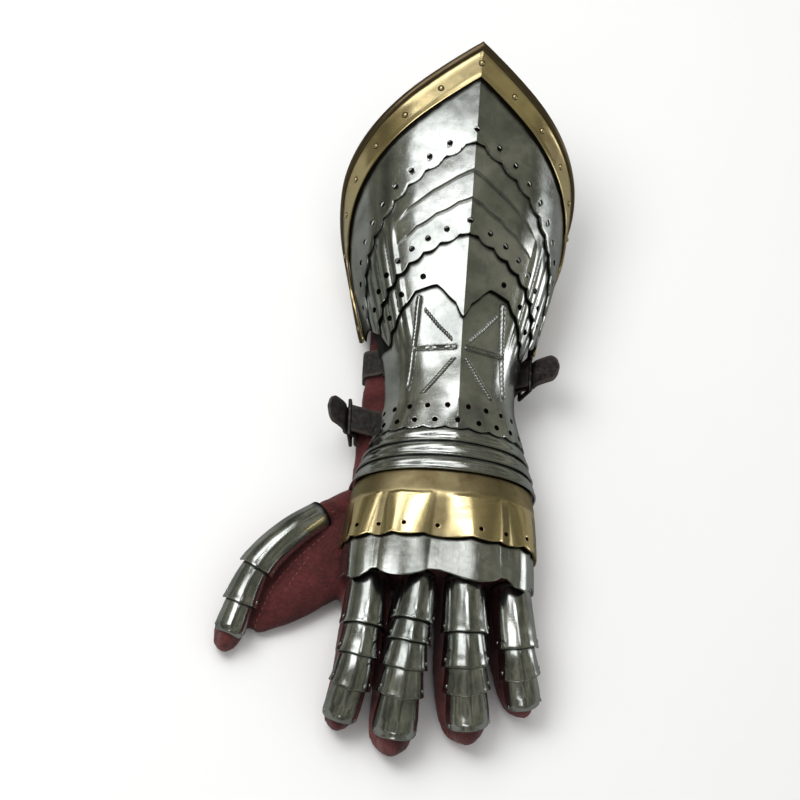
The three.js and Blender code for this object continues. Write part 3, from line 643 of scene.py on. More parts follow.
def cuffBorder():
    width = between(outline, borderInside)

    def relief(t, v, angle, y):
        inward = borderV(v)
        flat = smooth(0.24, 0.34, inward) * (1 - smooth(0.86, 0.97, inward))
        return rolledRim(inward * border["width"]) - border["sunk"] * flat

    # painted shade: a dark band in the groove at the foot of the rolled rim
    def paintedShade(t, v, angle, y):
        return 0.75 * smooth(0.2, 0.245, borderV(v)) * (1 - smooth(0.245, 0.31, borderV(v)))

    marks = {"rim": lambda t, v, angle, y: 1 - smooth(0.21, 0.27, borderV(v)), "paintedShade": paintedShade}
    cuffPlate("brassBorder", "cuff_border", 220, len(border["stops"]) - 1, lambda t, v: width(t, borderV(v)),
              cuffLevel(3), relief, marks, metal="brass")


def rimPlate():
    tucked = between(outline, borderInside)
    count, depth = cuff["rimLobes"]
    place = between(lambda t, v: tucked(t, 0.35), lambda t, v: rimEdge(t, -lobes(t, count, depth) * v))

    # painted shade under the border and just past its edge
    def paintedShade(t, v, angle, y):
        covered = (borderInside(t)[1] - y) * 0.72  # about how far this is past the border's edge
        return 1 - smooth(-0.6, 2.2, covered)

    cuffPlate("rimLame", "rim_lame", 352, 22, place, cuffLevel(2), lambda *_: 0, {"paintedShade": paintedShade},
              lobeHoles(rimEdge, count, 5.2))


def secondPlate():
    count, depth = cuff["secondLobes"]
    first, second = cuff["chevrons"]
    place = between(lambda t, v: rimEdge(t, cuff["tuck"]),
                    lambda t, v: secondEdge(t, -lobes(t, count, depth) * v))

    def chevron(v):
        # the sheet rises to each chevron's edge and steps back down just past it
        if v >= second:
            return 0
        start, end = (0, first) if v < first else (first, second)
        share = smooth(start, end, v) if v < first else (v - start) / (end - start)
        return cuff["chevronStep"] * share * (1 - smooth(end - 0.015, end + 0.001, v))

    def relief(t, v, angle, y):
        return chevron(v) * (1 - smooth(28, 46, abs(angle))) + gothicFlutes(angle, y) * smooth(0.2, 0.45, v)

    # painted shade under the rim lame's lobed edge and in the grooves behind the chevrons
    def paintedShade(t, v, angle, y):
        past = (rimEdge(t, -lobes(t, *cuff["rimLobes"]))[1] - y) * 0.76
        groove = max(1 - smooth(0, 0.022, abs(v - c - 0.012)) for c in cuff["chevrons"])
        return max(1 - smooth(-0.4, 2.6, past), groove * 0.55 * (1 - smooth(30, 44, abs(angle))))

    cuffPlate("secondLame", "second_lame", 256, 60, place, cuffLevel(1), relief, {"paintedShade": paintedShade},
              lobeHoles(secondEdge, count, 5.5))


def thirdPlate():
    count, depth = cuff["thirdLobes"]
    place = between(lambda t, v: secondEdge(t, cuff["tuck"]),
                    lambda t, v: thirdEdge(t, -lobes(t, count, depth) * v))

    # painted shade under the second lame's lobed edge
    def paintedShade(t, v, angle, y):
        return 1 - smooth(-0.4, 2.2, (secondEdge(t, -lobes(t, *cuff["secondLobes"]))[1] - y) * 0.8)

    relief = lambda t, v, angle, y: gothicFlutes(angle, y) * smooth(0.25, 0.5, v)
    holes = [thirdEdge(side * t, 5) for side in (-1, 1) for t in cuff["thirdHoles"]]
    cuffPlate("thirdLame", "third_lame", 200, 34, place, cuffLevel(0), relief, {"paintedShade": paintedShade}, holes)


# wrist
wrist = {"high": 70, "low": -22, "halfAngle": 97, "lobes": 6, "depth": 1.5, "holeRadius": 1.6,
         "holeRows": [(-18.5, 5), (-10, 4.5)]}
wristRibs = [  # places as angle and station, half width, height
    ([(31, 53), (35, 38), (40, 24), (46, 2)], 1.5, 1.5),
    ([(5, 24), (20, 24), (38, 24)], 1.2, 1.2),
]
wristRopes = [
    ([(6, 17), (17, 8), (30, -2)], 1.6, 1.3),
    ([(8, 29), (18, 37), (27, 46)], 1.4, 1.2),
]
rope = {"pitch": 1.75, "slant": 38, "beadLong": 1.3, "beadWide": 0.85, "lift": 0.1}


def fromLine(angle, y, line):
    # distance in millimetres from a bent line
    best = math.inf
    for (a0, y0), (a1, y1) in zip(line, line[1:]):
        ax, bx, px = a0 * wristDegree, a1 * wristDegree, angle * wristDegree
        dx, dy = bx - ax, y1 - y0
        t = min(max(((px - ax) * dx + (y - y0) * dy) / (dx * dx + dy * dy), 0), 1)
        best = min(best, math.hypot(px - ax - dx * t, y - y0 - dy * t))
    return best


thirdTable = sorted(thirdEdge(k / 60, -lobes(k / 60, *cuff["thirdLobes"])) for k in range(61))


def thirdAt(angle):
    # the station of the third lame's visible edge at an angle from the keel
    return straightAt(thirdTable, min(angle, thirdTable[-1][0]))[1]


def wristPlate():
    def place(t, v):
        low = wrist["low"] - lobes(t, wrist["lobes"], wrist["depth"])
        return t * wrist["halfAngle"], wrist["high"] + (low - wrist["high"]) * v

    def relief(t, v, angle, y):
        ribs = [height * max(0, 1 - (fromLine(abs(angle), y, line) / half) ** 2) ** 0.7
                for line, half, height in wristRibs]
        return max(ribs) + gothicFlutes(angle, y) * 0.7 * smooth(0, 0.1, v)

    # painted shade under the third lame's edge and along the feet of the ribs
    def paintedShade(t, v, angle, y):
        shadeShare = 1 - smooth(-0.4, 2.4, (thirdAt(abs(angle)) - y) * 0.9)
        for line, half, _ in wristRibs:
            d = fromLine(abs(angle), y, line)
            shadeShare = max(shadeShare, 0.5 * smooth(half * 0.7, half, d) * (1 - smooth(half, half + 1.3, d)))
        return shadeShare

    pitch = wrist["halfAngle"] / wrist["lobes"]
    holes = [((k - last) * pitch, y) for y, last in wrist["holeRows"] for k in range(int(2 * last) + 1)]
    cuffPlate("wristPlate", "wrist_plate", 260, 120, place, cuffLevel(-1), relief, {"paintedShade": paintedShade}, holes,
              holeRadius=wrist["holeRadius"])


def ropeLines():
    # a twisted cord in relief: one slanted bead, copied along each line
    places = []
    out = cuffLevel(-1) + plate["thick"] + rope["lift"]
    for side in (-1, 1):
        for line, half, height in wristRopes:
            spans = [math.hypot((b[0] - a[0]) * wristDegree, b[1] - a[1]) for a, b in zip(line, line[1:])]
            count = int(sum(spans) / rope["pitch"])
            for i in range(count + 1):
                goal, k = sum(spans) * i / count, 0
                while k < len(spans) - 1 and goal > spans[k]:
                    goal -= spans[k]
                    k += 1
                (a0, y0), (a1, y1) = line[k], line[k + 1]
                angle = side * (a0 + (a1 - a0) * goal / spans[k])
                y = y0 + (y1 - y0) * goal / spans[k]
                ahead = skin(y1, side * a1, out) - skin(y0, side * a0, out)
                normal = outward(y, angle, out)
                along = (ahead - normal * ahead.dot(normal)).normalized()
                slant = Matrix.Rotation(math.radians(rope["slant"] * side), 3, normal) @ along
                places.append(placed(inFrame(skin(y, angle, out)), (slant, normal.cross(slant), normal),
                                     (half * rope["beadLong"], rope["beadWide"], height)))
    piece = copied(bead(), places)
    smoothed(piece, 60)
    settled(piece, "wristRopes", [metals["steel"]])


# hand
hand = {"wristLameEdges": [-30, -38.5, -47], "droop": 3, "wristHalfAngle": 96, "bandLow": -85, "bandHalfAngle": 90,
        "bandLobes": (5, 1.4), "knuckleAngles": [-56, -21, 14, 49], "fluteHalfWidth": 15, "bandFlute": 2.6,
        "fluteStep": 0.28, "lameFlute": 1.4, "knuckleLow": -105, "knuckleLobe": 4.5, "holeLine": -80,
        "holePitch": 17.5, "holes": 8, "holeRadius": 1.3, "bandTopShade": 0.5, "valleyShade": 0.42}


def droop(t):
    return -hand["droop"] * t * t


def knuckleFlute(angle):
    nearest = min(abs(angle - middle) for middle in hand["knuckleAngles"])
    return max(0, math.cos(min(nearest / hand["fluteHalfWidth"], 1) * math.pi / 2)) ** 0.7


def handLame(name, node, columns, rows, hidden, visible, halfAngle, bulge, paintedShade, metal="steel", holes=()):
    # a lame that slides under the one above; its painted shade is read at t, v, y
    station = lambda t, v: hidden(t) + (visible(t) - hidden(t)) * v

    def pointAt(t, v):
        inside = cuffLevel(-1) - plate["lameTilt"] * (1 - v)
        return skin(station(t, v), t * halfAngle, inside + plate["thick"] + bulge(t * halfAngle, v))
    spots = spotsAt(holes, cuffLevel(-1) + plate["thick"] / 2)
    piece = plateFrom(columns, rows, pointAt, spots, hand["holeRadius"],
                      {"paintedShade": lambda t, v: paintedShade(t, v, station(t, v))})
    settled(piece, name, [metals[metal], plateEdge], [node])


def wristLames():
    edges = [wrist["low"], *hand["wristLameEdges"]]
    for k, (above, edge) in enumerate(zip(edges, edges[1:])):
        hidden = lambda t, above=above, k=k: above + plate["lameOverlap"] + (droop(t) if k else 0)
        visible = lambda t, edge=edge: edge + droop(t)

        # painted shade under the lame above
        def paintedShade(t, v, y, above=above, k=k):
            cover = above + (droop(t) if k else -lobes(t, wrist["lobes"], wrist["depth"]))
            return 1 - smooth(-0.3, 1.7, cover - y)

        bulge = lambda angle, v: 0.55 * math.sin(math.pi * smooth(0.3, 1, v)) + 0.4 * smooth(0.9, 1, v)
        handLame(f"wristLame{k + 1}", f"wrist_lame_{k + 1}", 120, 16, hidden, visible, hand["wristHalfAngle"],
                 bulge, paintedShade)


def knuckleBand():
    above = hand["wristLameEdges"][-1]
    hidden = lambda t: above + plate["lameOverlap"] + droop(t)
    visible = lambda t: hand["bandLow"] - lobes(t, *hand["bandLobes"])

    def bulge(angle, v):
        ramp = max(0, v - 0.4) / 0.6  # each flute starts at a crisp step and rises towards the knuckle
        rise = hand["fluteStep"] * smooth(0.38, 0.44, v) + (1 - hand["fluteStep"]) * ramp
        return knuckleFlute(angle) * rise * hand["bandFlute"]

    # painted shade under the lame above and in the valleys between the flutes
    def paintedShade(t, v, y):
        flute = knuckleFlute(t * hand["bandHalfAngle"])
        valley = hand["valleyShade"] * smooth(0.38, 0.5, v) * (1 - smooth(0.0, 0.4, flute))
        topShade = hand["bandTopShade"] * (1 - smooth(0.36, 0.42, v))  # the flat part above the flutes is painted darker: a painted dark reflection
        return max(1 - smooth(-0.3, 1.8, above + droop(t) - y), valley, topShade)

    holes = [(hand["knuckleAngles"][0] + k * hand["holePitch"], hand["holeLine"]) for k in range(hand["holes"])]
    handLame("knuckleBand", "knuckle_band", 260, 56, hidden, visible, hand["bandHalfAngle"], bulge, paintedShade, "brass",
             holes)


def knuckleLame():
    halfAngle = hand["bandHalfAngle"] - 2
    hidden = lambda t: hand["bandLow"] + plate["lameOverlap"] + 1
    visible = lambda t: hand["knuckleLow"] - hand["knuckleLobe"] * knuckleFlute(t * halfAngle)
    # painted shade under the band's lobed edge
    paintedShade = lambda t, v, y: 1 - smooth(-0.3, 2.6, hand["bandLow"] - lobes(t, *hand["bandLobes"]) - y)
    handLame("knuckleLame", "knuckle_lame", 240, 36, hidden, visible, halfAngle,
             lambda angle, v: knuckleFlute(angle) * hand["lameFlute"], paintedShade)


# finger plates
fingers = [
    {"name": "index", "root": (-39.5, -90, 25), "bend": (-46, -150, 28.3), "tip": (-54.5, -188, 10.5),
     "wide": 14.2, "narrow": 9.2, "edges": [-133, -147.5, -163, -182]},
    {"name": "middle", "root": (-12.5, -90, 36.5), "bend": (-20.5, -150, 35.5), "tip": (-23.7, -199.5, 10.5),
     "wide": 10.2, "narrow": 12.6, "edges": [-130, -140.5, -153, -166.5, -189]},
    {"name": "ring", "root": (9.5, -90, 36.5), "bend": (12, -148, 34.5), "tip": (19.2, -190, 11),
     "wide": 12.4, "narrow": 12.2, "edges": [-133, -148.5, -160.5, -180.5]},
    {"name": "pinky", "root": (36.4, -90, 25.2), "bend": (42, -142, 28), "tip": (50.6, -172, 10.5),
     "wide": 13.4, "narrow": 9.6, "edges": [-136, -149, -166]},
]
fingerTop = -103
thumbLine = [(-68, -66, 17), (-86, -81, 20), (-103, -102, 19.5), (-116, -139, 11.5)]
thumb = {"name": "thumb", "wide": 9.8, "narrow": 8.4, "edges": [50, 70, 88]}
fingerRivet = {"back": 3.4, "fromSide": 17, "radius": 1.15}
closing = [(0, 0.0), (0.55, 0.0), (0.8, 0.4), (0.95, 1.6), (1.0, 3.2)]  # how far the last plate closes in
rivetSpots = []  # where the small rivets of the finger plates go: point, outward direction, radius


def fingerFrame(corners):
    # a smooth line through the middle of a finger, read by length, with a frame at each place
    read, length = lineReader(curveThrough([Vector(c) for c in corners], 400, evenness=0.5))
    up = Vector((0, 0, 1))

    def at(t, angle=0.0, radius=0.0):
        t = min(max(t, 0), 1)
        along = (read(min(t + 0.004, 1)) - read(max(t - 0.004, 0))).normalized()
        side = along.cross(up).normalized()
        out = side.cross(along).normalized()
        return (read(t) + side * radius * math.sin(math.radians(angle))
                + out * radius * math.cos(math.radians(angle)))
    return at, length


def fingerCorners(finger):
    return [finger["root"], finger["bend"], finger["tip"]]


def closed(v):
    for (v0, c0), (v1, c1) in zip(closing, closing[1:]):
        if v <= v1:
            return c0 + (c1 - c0) * smooth(0, 1, (v - v0) / (v1 - v0))
    return closing[-1][1]


def fingerPlates(finger, corners, place, first):
    at, length = fingerFrame(corners)
    starts = [first, *finger["edges"][:-1]]
    for k, (above, edge) in enumerate(zip(starts, finger["edges"])):
        start = place(above, plate["fingerOverlap"] if k else 0)
        end = place(edge)
        last = k == len(starts) - 1

        def reach(u, v, last=last):
            wide = finger["wide"] + (finger["narrow"] - finger["wide"]) * u
            return wide - plate["fingerTilt"] * (1 - v) - (closed(v) if last else 0) + plate["thick"]

        def pointAt(t, v, start=start, end=end, last=last, reach=reach):
            lip = 0.0 if last else 0.35 * smooth(0.82, 1.0, v)  # a slight lip along the visible edge
            bow = 0.0 if last else 0.9 * (1 - abs(t)) ** 2 * smooth(0.7, 1, v) / length
            u = start + (end - start) * v + bow
            ridge = 0.35 * max(0, 1 - abs(t) * 3.2) ** 1.5 * smooth(0.1, 0.4, v)
            return at(u, plate["fingerHalfAngle"] * t, reach(u, v) + lip + ridge)

        # painted shade under the plate above, and at the top of the first plate under the knuckle lame
        def paintedShade(t, v, start=start, end=end, k=k):
            if k == 0:
                return 0.9 * (1 - smooth(0.0, 0.12, v))
            return 1 - smooth(-0.2, 1.6, (end - start) * v * length - plate["fingerOverlap"])

        rows = max(12, int((end - start) * length / 1.2))
        piece = plateFrom(40, rows, pointAt, marks={"paintedShade": paintedShade}, bevel=plate["fingerBevel"],
                          middle=at((start + end) / 2), sharp=40)
        settled(piece, f"{finger['name']}Lame{k + 1}", [metals["steel"], plateEdge],
                [f"{finger['name']}_lame_{k + 1}"])
        for side in (-1, 1):
            u = end - fingerRivet["back"] / length
            angle = side * (plate["fingerHalfAngle"] - fingerRivet["fromSide"])
            spot = at(u, angle, reach(u, (u - start) / (end - start)))
            rivetSpots.append((spot, (spot - at(u)).normalized(), fingerRivet["radius"]))


# rivets
def rivetHeads(name, spots, finish, flat=0.55):
    # one domed head, copied to every spot
    head = bead()
    with editing(head):
        bpy.ops.mesh.bisect(plane_co=(0, 0, -0.25 * mm), plane_no=(0, 0, 1), clear_inner=True, use_fill=True)
        bpy.ops.mesh.select_all(action='SELECT')
        bpy.ops.transform.resize(value=(1, 1, flat), center_override=(0, 0, 0))
    places = []
    for point, direction, radius in spots:
        turn = direction.to_track_quat('Z', 'Y').to_matrix().to_4x4()
        places.append(Matrix.Translation(inFrame(point)) @ turn @ Matrix.Scale(radius, 4))
    piece = copied(head, places)
    smoothed(piece, 50)
    settled(piece, name, [finish])


def borderRivets():
    width = between(outline, borderInside)
    count = border["rivets"]
    places = [width(i / count * border["rivetSpread"], border["rivetPlace"]) for i in range(-count, count + 1)]
    spots = spotsAt(places, cuffLevel(3) + plate["thick"] - border["rivetSink"])
    rivetHeads("borderRivets", [(*spot, border["rivetRadius"]) for spot in spots], metals["brass"], 0.75)
    rivetHeads("borderRivetSeats", [(*spot, border["seatRadius"]) for spot in spots], iron, 0.16)


cuffBorder()
borderRivets()
rimPlate()
secondPlate()
thirdPlate()
print("cuff plates ready")
wristPlate()
ropeLines()
wristLames()
knuckleBand()
knuckleLame()
print("wrist and knuckle plates ready")
for finger in fingers:
    top, span = finger["root"][1], finger["root"][1] - finger["tip"][1]
    fingerPlates(finger, fingerCorners(finger), lambda y, back=0: (top - y - back) / span, fingerTop)
fingerPlates(thumb, thumbLine, lambda along, back=0: (along - back) / thumb["edges"][-1], 0)
rivetHeads("fingerRivets", rivetSpots, metals["steel"])
print("finger plates ready")

# glove
glove = {"gap": 5.3, "thick": 1.7, "voxel": 1.8, "hem": 76, "underDepth": 1.25, "crumple": 0.55, "flatBelow": 1.2,
         "fingerRoom": 3.3, "rootSpread": 0.4,
         "tipSpread": {"index": 3.2, "middle": 5.4, "ring": 6.4, "pinky": 3.4},
         "thumbUpper": (6.6, 5), "thumbLower": (9, 11.5),
         "thumbRoot": (-44, -50, 14), "thumbEnd": (-119, -148, 10)}
gloveThumb = [glove["thumbRoot"], *thumbLine, glove["thumbEnd"]]
bodyRows = [  # y, reach to the left, reach to the right, floor
    (-101, 50, 45, 0), (-76, 51, 46, 0), (-50, 51, 46, 0.4), (-22, 50, 42, 2.6), (-4, 49, 40, 3.4),
    (16, 47, 40, 4), (34, 45.5, 41, 4.5), (54, 45, 43, 6), (76, 47, 47, 8),
]
underRows = [  # angle, down, reach, across, lift
    (90, 0, 0, 1, 0), (108, 0.33, 0.04, 1, 0.96), (124, 0.6, 1, 1, 1.2), (140, 0.88, 1, 0.97, 0.2),
    (156, 1, 1, 0.84, 0), (180, 1, 1, 0, 0),
]
webRows = [  # x, y, z, wide, high
    (-44, -74, 11, 25, 10), (-58, -86, 10, 23, 9.4), (-72, -99, 9, 20, 8.5), (-82, -109, 8.3, 17.4, 7.6),
    (-92, -119, 7.5, 14, 6.5), (-103, -131, 6, 6, 4),
]
tipRows = [(0, 1), (0.7, 1), (0.87, 0.97), (0.93, 0.87), (0.965, 0.73), (0.985, 0.55), (0.998, 0.3)]  # place, size
webSide = Vector((-0.7, 0.71, 0))


def bodyPoint(y, angle, inset=0.0):
    # the upper half of the glove's body follows the skin, the lower half spreads and lies flat
    _, left, right, floor = rowAt(bodyRows, y)
    _, wide, _, mid, _, _, shift, _ = skinRow(y)
    turn = abs((angle + 540) % 360 - 180)
    side = -1 if math.sin(math.radians(angle)) < 0 else 1
    if turn <= 90:
        return skin(y, side * turn, -glove["gap"] - inset)
    _, down, reach, across, lift = straightAt(underRows, turn)
    narrow = wide - glove["gap"] - inset
    broad = (left if side < 0 else right) - inset
    x = shift + side * across * (narrow + (broad - narrow) * reach)
    return Vector((x, y, mid + (floor + inset - mid) * down - inset * lift))


def closedTube(sides, rows, ringPoint, middlePoint):
    # a tube closed at both ends: v runs along it and the first and last rings shrink to a point
    def pointAt(t, v):
        if v < 1e-6 or v > 1 - 1e-6:
            return middlePoint(v)
        return ringPoint((v * rows - 1) / (rows - 2), t * 180)
    piece, _ = gridSheet(sides, rows, pointAt)
    with editing(piece):
        bpy.ops.mesh.remove_doubles(threshold=0.00001)
        bpy.ops.mesh.normals_make_consistent(inside=False)
    return piece


def bodyTube():
    first, last = bodyRows[0][0], bodyRows[-1][0] + 6
    place = lambda v: first + (last - first) * v
    return closedTube(96, 80, lambda v, angle: bodyPoint(place(v), angle), lambda v: Vector((0, place(v), 22)))


def fingerTube(corners, upperAt, lowerAt):
    at, _ = fingerFrame(corners)

    def ringPoint(v, angle):
        t = v if v < 0.8 else 0.8 + (v - 0.8) * 0.99
        size = straightAt(tipRows, t)[1]
        middle = at(t)
        side = at(t, 90, 1) - middle
        out = at(t, 0, 1) - middle
        c = math.cos(math.radians(angle))
        upper = upperAt(t)
        across = (upper + (lowerAt(t) - upper) * smooth(0.1, 0.6, -c)) * math.sin(math.radians(angle))
        tall = c * (middle.z * glove["underDepth"] if c < 0 else upper)
        point = middle + side * across * size + out * tall * size
        point.z = max(point.z, 0)
        return point
    return closedTube(28, 44, ringPoint, lambda v: at(0.0 if v < 0.5 else 0.999))


def webTube():
    # the leather between the thumb and the palm
    def ringPoint(v, angle):
        place = v * (len(webRows) - 1)
        k = min(int(place), len(webRows) - 2)
        x, y, z, wide, high = (a + (b - a) * (place - k) for a, b in zip(webRows[k], webRows[k + 1]))
        turn = math.radians(angle)
        point = Vector((x, y, z)) + webSide * wide * math.sin(turn)
        point.z = max(z + high * math.cos(turn) * 1.1, 0)
        return point
    return closedTube(32, 40, ringPoint, lambda v: Vector(webRows[0 if v < 0.5 else -1][:3]))


def crumpled(piece):
    # soft folds across the wrist and the base of the thumb, and small unevenness everywhere
    normals = [vertex.normal.copy() for vertex in piece.data.vertices]
    for vertex, normal in zip(piece.data.vertices, normals):
        p = vertex.co / mm
        thumbSide = smooth(20, 50, -p.x)
        soft = noise.noise(Vector((p.x * 0.045, p.y * 0.085, p.z * 0.06))) * 0.8
        fold = noise.noise(Vector((p.x * 0.03 + 7, p.y * 0.22 + p.x * 0.07, p.z * 0.04)))
        amount = glove["crumple"] * (soft + fold * (0.5 + 1.6 * thumbSide * (1 - smooth(45, 75, abs(p.y + 15)))))
        if p.z > glove["flatBelow"]:
            vertex.co += normal * min(amount, 0.5) * mm
    piece.data.update()


def makeGlove():
    parts = [bodyTube(), webTube()]
    blend = lambda a, b: lambda t: a + (b - a) * t
    for finger in fingers:
        wide, narrow, room = finger["wide"], finger["narrow"], glove["fingerRoom"]
        spread = glove["tipSpread"][finger["name"]]
        parts.append(fingerTube(fingerCorners(finger), blend(wide - room, narrow - room),
                                blend(wide + glove["rootSpread"], narrow + spread)))
    parts.append(fingerTube(gloveThumb, blend(*glove["thumbUpper"]), blend(*glove["thumbLower"])))
    piece = joined(parts)
    applied(piece, 'REMESH', mode='VOXEL', voxel_size=glove["voxel"] * mm, adaptivity=0)
    applied(piece, 'SMOOTH', factor=0.5, iterations=4)
    crumpled(piece)
    with editing(piece):
        bpy.ops.mesh.bisect(plane_co=inFrame(Vector((0, glove["hem"], 0))), plane_no=(0, 1, 0), clear_outer=True)
    for vertex in piece.data.vertices:
        vertex.co.z = max(vertex.co.z, 0)
    places = [vertex.co / mm for vertex in piece.data.vertices]
    tree = BVHTree.FromPolygons([place * mm for place in places], [list(f.vertices) for f in piece.data.polygons])
    rubbed = [smooth(60, 100, -place.x) * 0.5 + smooth(130, 190, -place.y) * 0.8 for place in places]
    thickened(piece, glove["thick"])
    markPiece(piece, "rubbed", (rubbed * 2)[:len(piece.data.vertices)])
    smoothed(piece, 60)
    settled(piece, "suedeGlove", [suede],
            ["glove", "glove_index", "glove_middle", "glove_ring", "glove_pinky", "glove_thumb"])
    return tree


stitch = {"long": 2.4, "pitch": 3.24, "radius": 0.33, "lift": 0.12,
          "finger": (0.3, 0.66, 90, 96), "thumb": (0.25, 0.72, 160, 92)}  # start, run, steps, angle
webSeam = {"start": (-46, -52, 30), "end": (-88, -114, 30), "bow": 6, "steps": 120}


def stitches(name, tree, line):
    # short stitches along a line of points, laid on the nearest leather
    spots = [tree.find_nearest(inFrame(point))[:2] for point in line]
    walked, places = 0.0, []
    for (a, _), (b, normal) in zip(spots, spots[1:]):
        step = (b - a).length
        if step < 1e-6:
            continue
        walked += step / mm
        if walked < stitch["pitch"]:
            continue
        walked = 0.0
        along = (b - a).normalized()
        places.append(placed(b + normal * stitch["lift"] * mm, (along, normal.cross(along).normalized(), normal),
                             (stitch["long"] / 2, stitch["radius"], stitch["radius"])))
    if places:
        piece = copied(bead(8, 6), places)
        smoothed(piece, 60)
        settled(piece, name, [thread])


def gloveSeams(tree):
    # a seam along each side of every finger and of the thumb, and one across the web
    seams = [(finger["name"], fingerCorners(finger), *stitch["finger"], finger["wide"] + 1) for finger in fingers]
    for name, corners, start, run, count, turn, out in [*seams, ("thumb", gloveThumb, *stitch["thumb"], 12)]:
        at, _ = fingerFrame(corners)
        for side, letter in ((-1, "L"), (1, "R")):
            line = [at(start + run * k / count, side * turn, out) for k in range(count + 1)]
            stitches(f"{name}Stitches{letter}", tree, line)
    line = []
    for k in range(webSeam["steps"] + 1):
        share = k / webSeam["steps"]
        point = Vector(webSeam["start"]).lerp(Vector(webSeam["end"]), share)
        line.append(point + Vector((0, webSeam["bow"] * math.sin(math.pi * share), 0)))
    stitches("webStitches", tree, line)


# straps
strap = {"width": 16, "thick": 1.6, "gap": 0.95, "lean": 12, "buckleAngle": 126, "holeRadius": 1.1, "crown": 0.2,
         "tip": 0.035, "tail": [(3.2, 0.2), (9, 4.9), (15, 5.6), (22, 8.5), (29, 13)],  # up, outwards
         "half": 11.5, "long": 17, "bar": 2.4, "buckleThick": 2, "tongueRadius": 0.85, "tongueLong": 9}
straps = [{"name": "wrist", "y": -9, "side": -1}, {"name": "cuff", "y": 29, "side": 1}]


def crossPath(corners, count, y):
    # even steps along a rounded line across the wrist, each with its direction away from the wrist
    read, _ = lineReader(curveThrough(corners, 24 * (len(corners) - 1)))
    points = [read(k / count) for k in range(count + 1)]
    found = []
    for k, p in enumerate(points):
        along = points[min(k + 1, count)] - points[max(k - 1, 0)]
        found.append((p, Vector((along.z, 0, -along.x)).normalized()))
    p, out = found[count // 4]
    flip = -1 if out.dot(p - Vector((0, y, 25))) < 0 else 1
    return [(p, out * flip) for p, out in found]


def bandPiece(name, node, path, y, tip=0.0, holes=()):
    # a flat band along a path in the cross section, with a rounded tip where it has a free end
    steps = len(path) - 1

    def pointAt(t, v):
        k = min(int(v * steps), steps - 1)
        spot = path[k][0].lerp(path[k + 1][0], v * steps - k)
        ending = max(0.0, (v - 1 + tip) / tip) if tip else 0.0
        half = strap["width"] / 2 * max(math.sqrt(1 - min(ending, 1) ** 2), 0.18)
        return Vector((spot.x, y + t * half, spot.z)) + path[k][1] * strap["crown"] * (1 - t * t)
    piece, places = gridSheet(16, steps, pointAt)
    markPiece(piece, "rubbed", [smooth(0.72, 0.98, abs(t)) * 0.8 for t, v in places])
    spot, out = path[steps // 2]
    faceOut(piece, inFrame(spot - out * 20))
    thickened(piece, strap["thick"])
    if holes:
        drilled(piece, holes, strap["holeRadius"])
    bevelled(piece, 0.35, 2, 50)
    smoothed(piece, 40)
    settled(piece, name, [bridle], [node])


def buckleRing(name, middle, axes):
    # a flat frame with its opening cut right through, every edge rounded
    ring = added(bpy.ops.mesh.primitive_plane_add, size=1)
    with editing(ring):
        bpy.ops.transform.resize(value=(2 * strap["half"] * mm, strap["long"] * mm, 1), center_override=(0, 0, 0))
        bpy.ops.mesh.inset(thickness=strap["bar"] * mm)
        bpy.ops.mesh.delete(type='FACE')
    applied(ring, 'SOLIDIFY', thickness=strap["buckleThick"] * mm, offset=0)
    bevelled(ring, 0.75, 4, 60)
    ring.matrix_world = placed(inFrame(middle), axes)
    smoothed(ring, 40)
    settled(ring, name + "Buckle", [iron], [name + "_buckle"])


def buckleTongue(name, middle, axes):
    tongue = added(bpy.ops.mesh.primitive_cylinder_add, vertices=12, radius=strap["tongueRadius"] * mm,
                   depth=strap["tongueLong"] * mm)
    with editing(tongue):
        bpy.ops.transform.resize(value=(1, 0.75, 1), center_override=(0, 0, 0))
    bevelled(tongue, 0.4, 3, 50)
    tongue.matrix_world = placed(inFrame(middle), axes)
    smoothed(tongue, 50)
    settled(tongue, name + "Tongue", [iron], [name + "_tongue"])


def makeStrap(name, y, side):
    outside = -strap["gap"] - strap["thick"]
    turn = strap["buckleAngle"]
    seat = bodyPoint(y, side * turn, outside)
    lean = math.radians(strap["lean"])
    up = Vector((side * math.sin(lean), 0, math.cos(lean)))
    out = Vector((side * up.z, 0, -side * up.x))
    across = Vector((0, side, 0))
    local = lambda s, n: seat + up * s + out * n
    around = lambda start, end, count: [bodyPoint(y, side * (start + (end - start) * k / count), outside)
                                        for k in range(count + 1)]

    wrap = around(-86, turn - 360 + 0.01, 74)
    path = crossPath([*wrap[:-1:3], wrap[-1], *(local(*spot) for spot in strap["tail"])], 150, y)
    holes = [(p - out * 0.8, out) for p, out in path[-26::6][:3]]
    bandPiece(name + "Strap", name + "_strap", path, y, strap["tip"], holes)
    bandPiece(name + "Chape", name + "_chape", crossPath([*around(86, 110, 12), local(13.4, 0.4)], 40, y), y)
    middle = local(-3 + strap["long"] / 2, 0.8 + strap["buckleThick"] / 2)
    buckleRing(name, middle, (across, up, out))
    buckleTongue(name, local(0.8, 3.6), (across, out, up))


gloveTree = makeGlove()
gloveSeams(gloveTree)
print("glove ready")
for entry in straps:
    makeStrap(entry["name"], entry["y"], entry["side"])
print("straps ready")


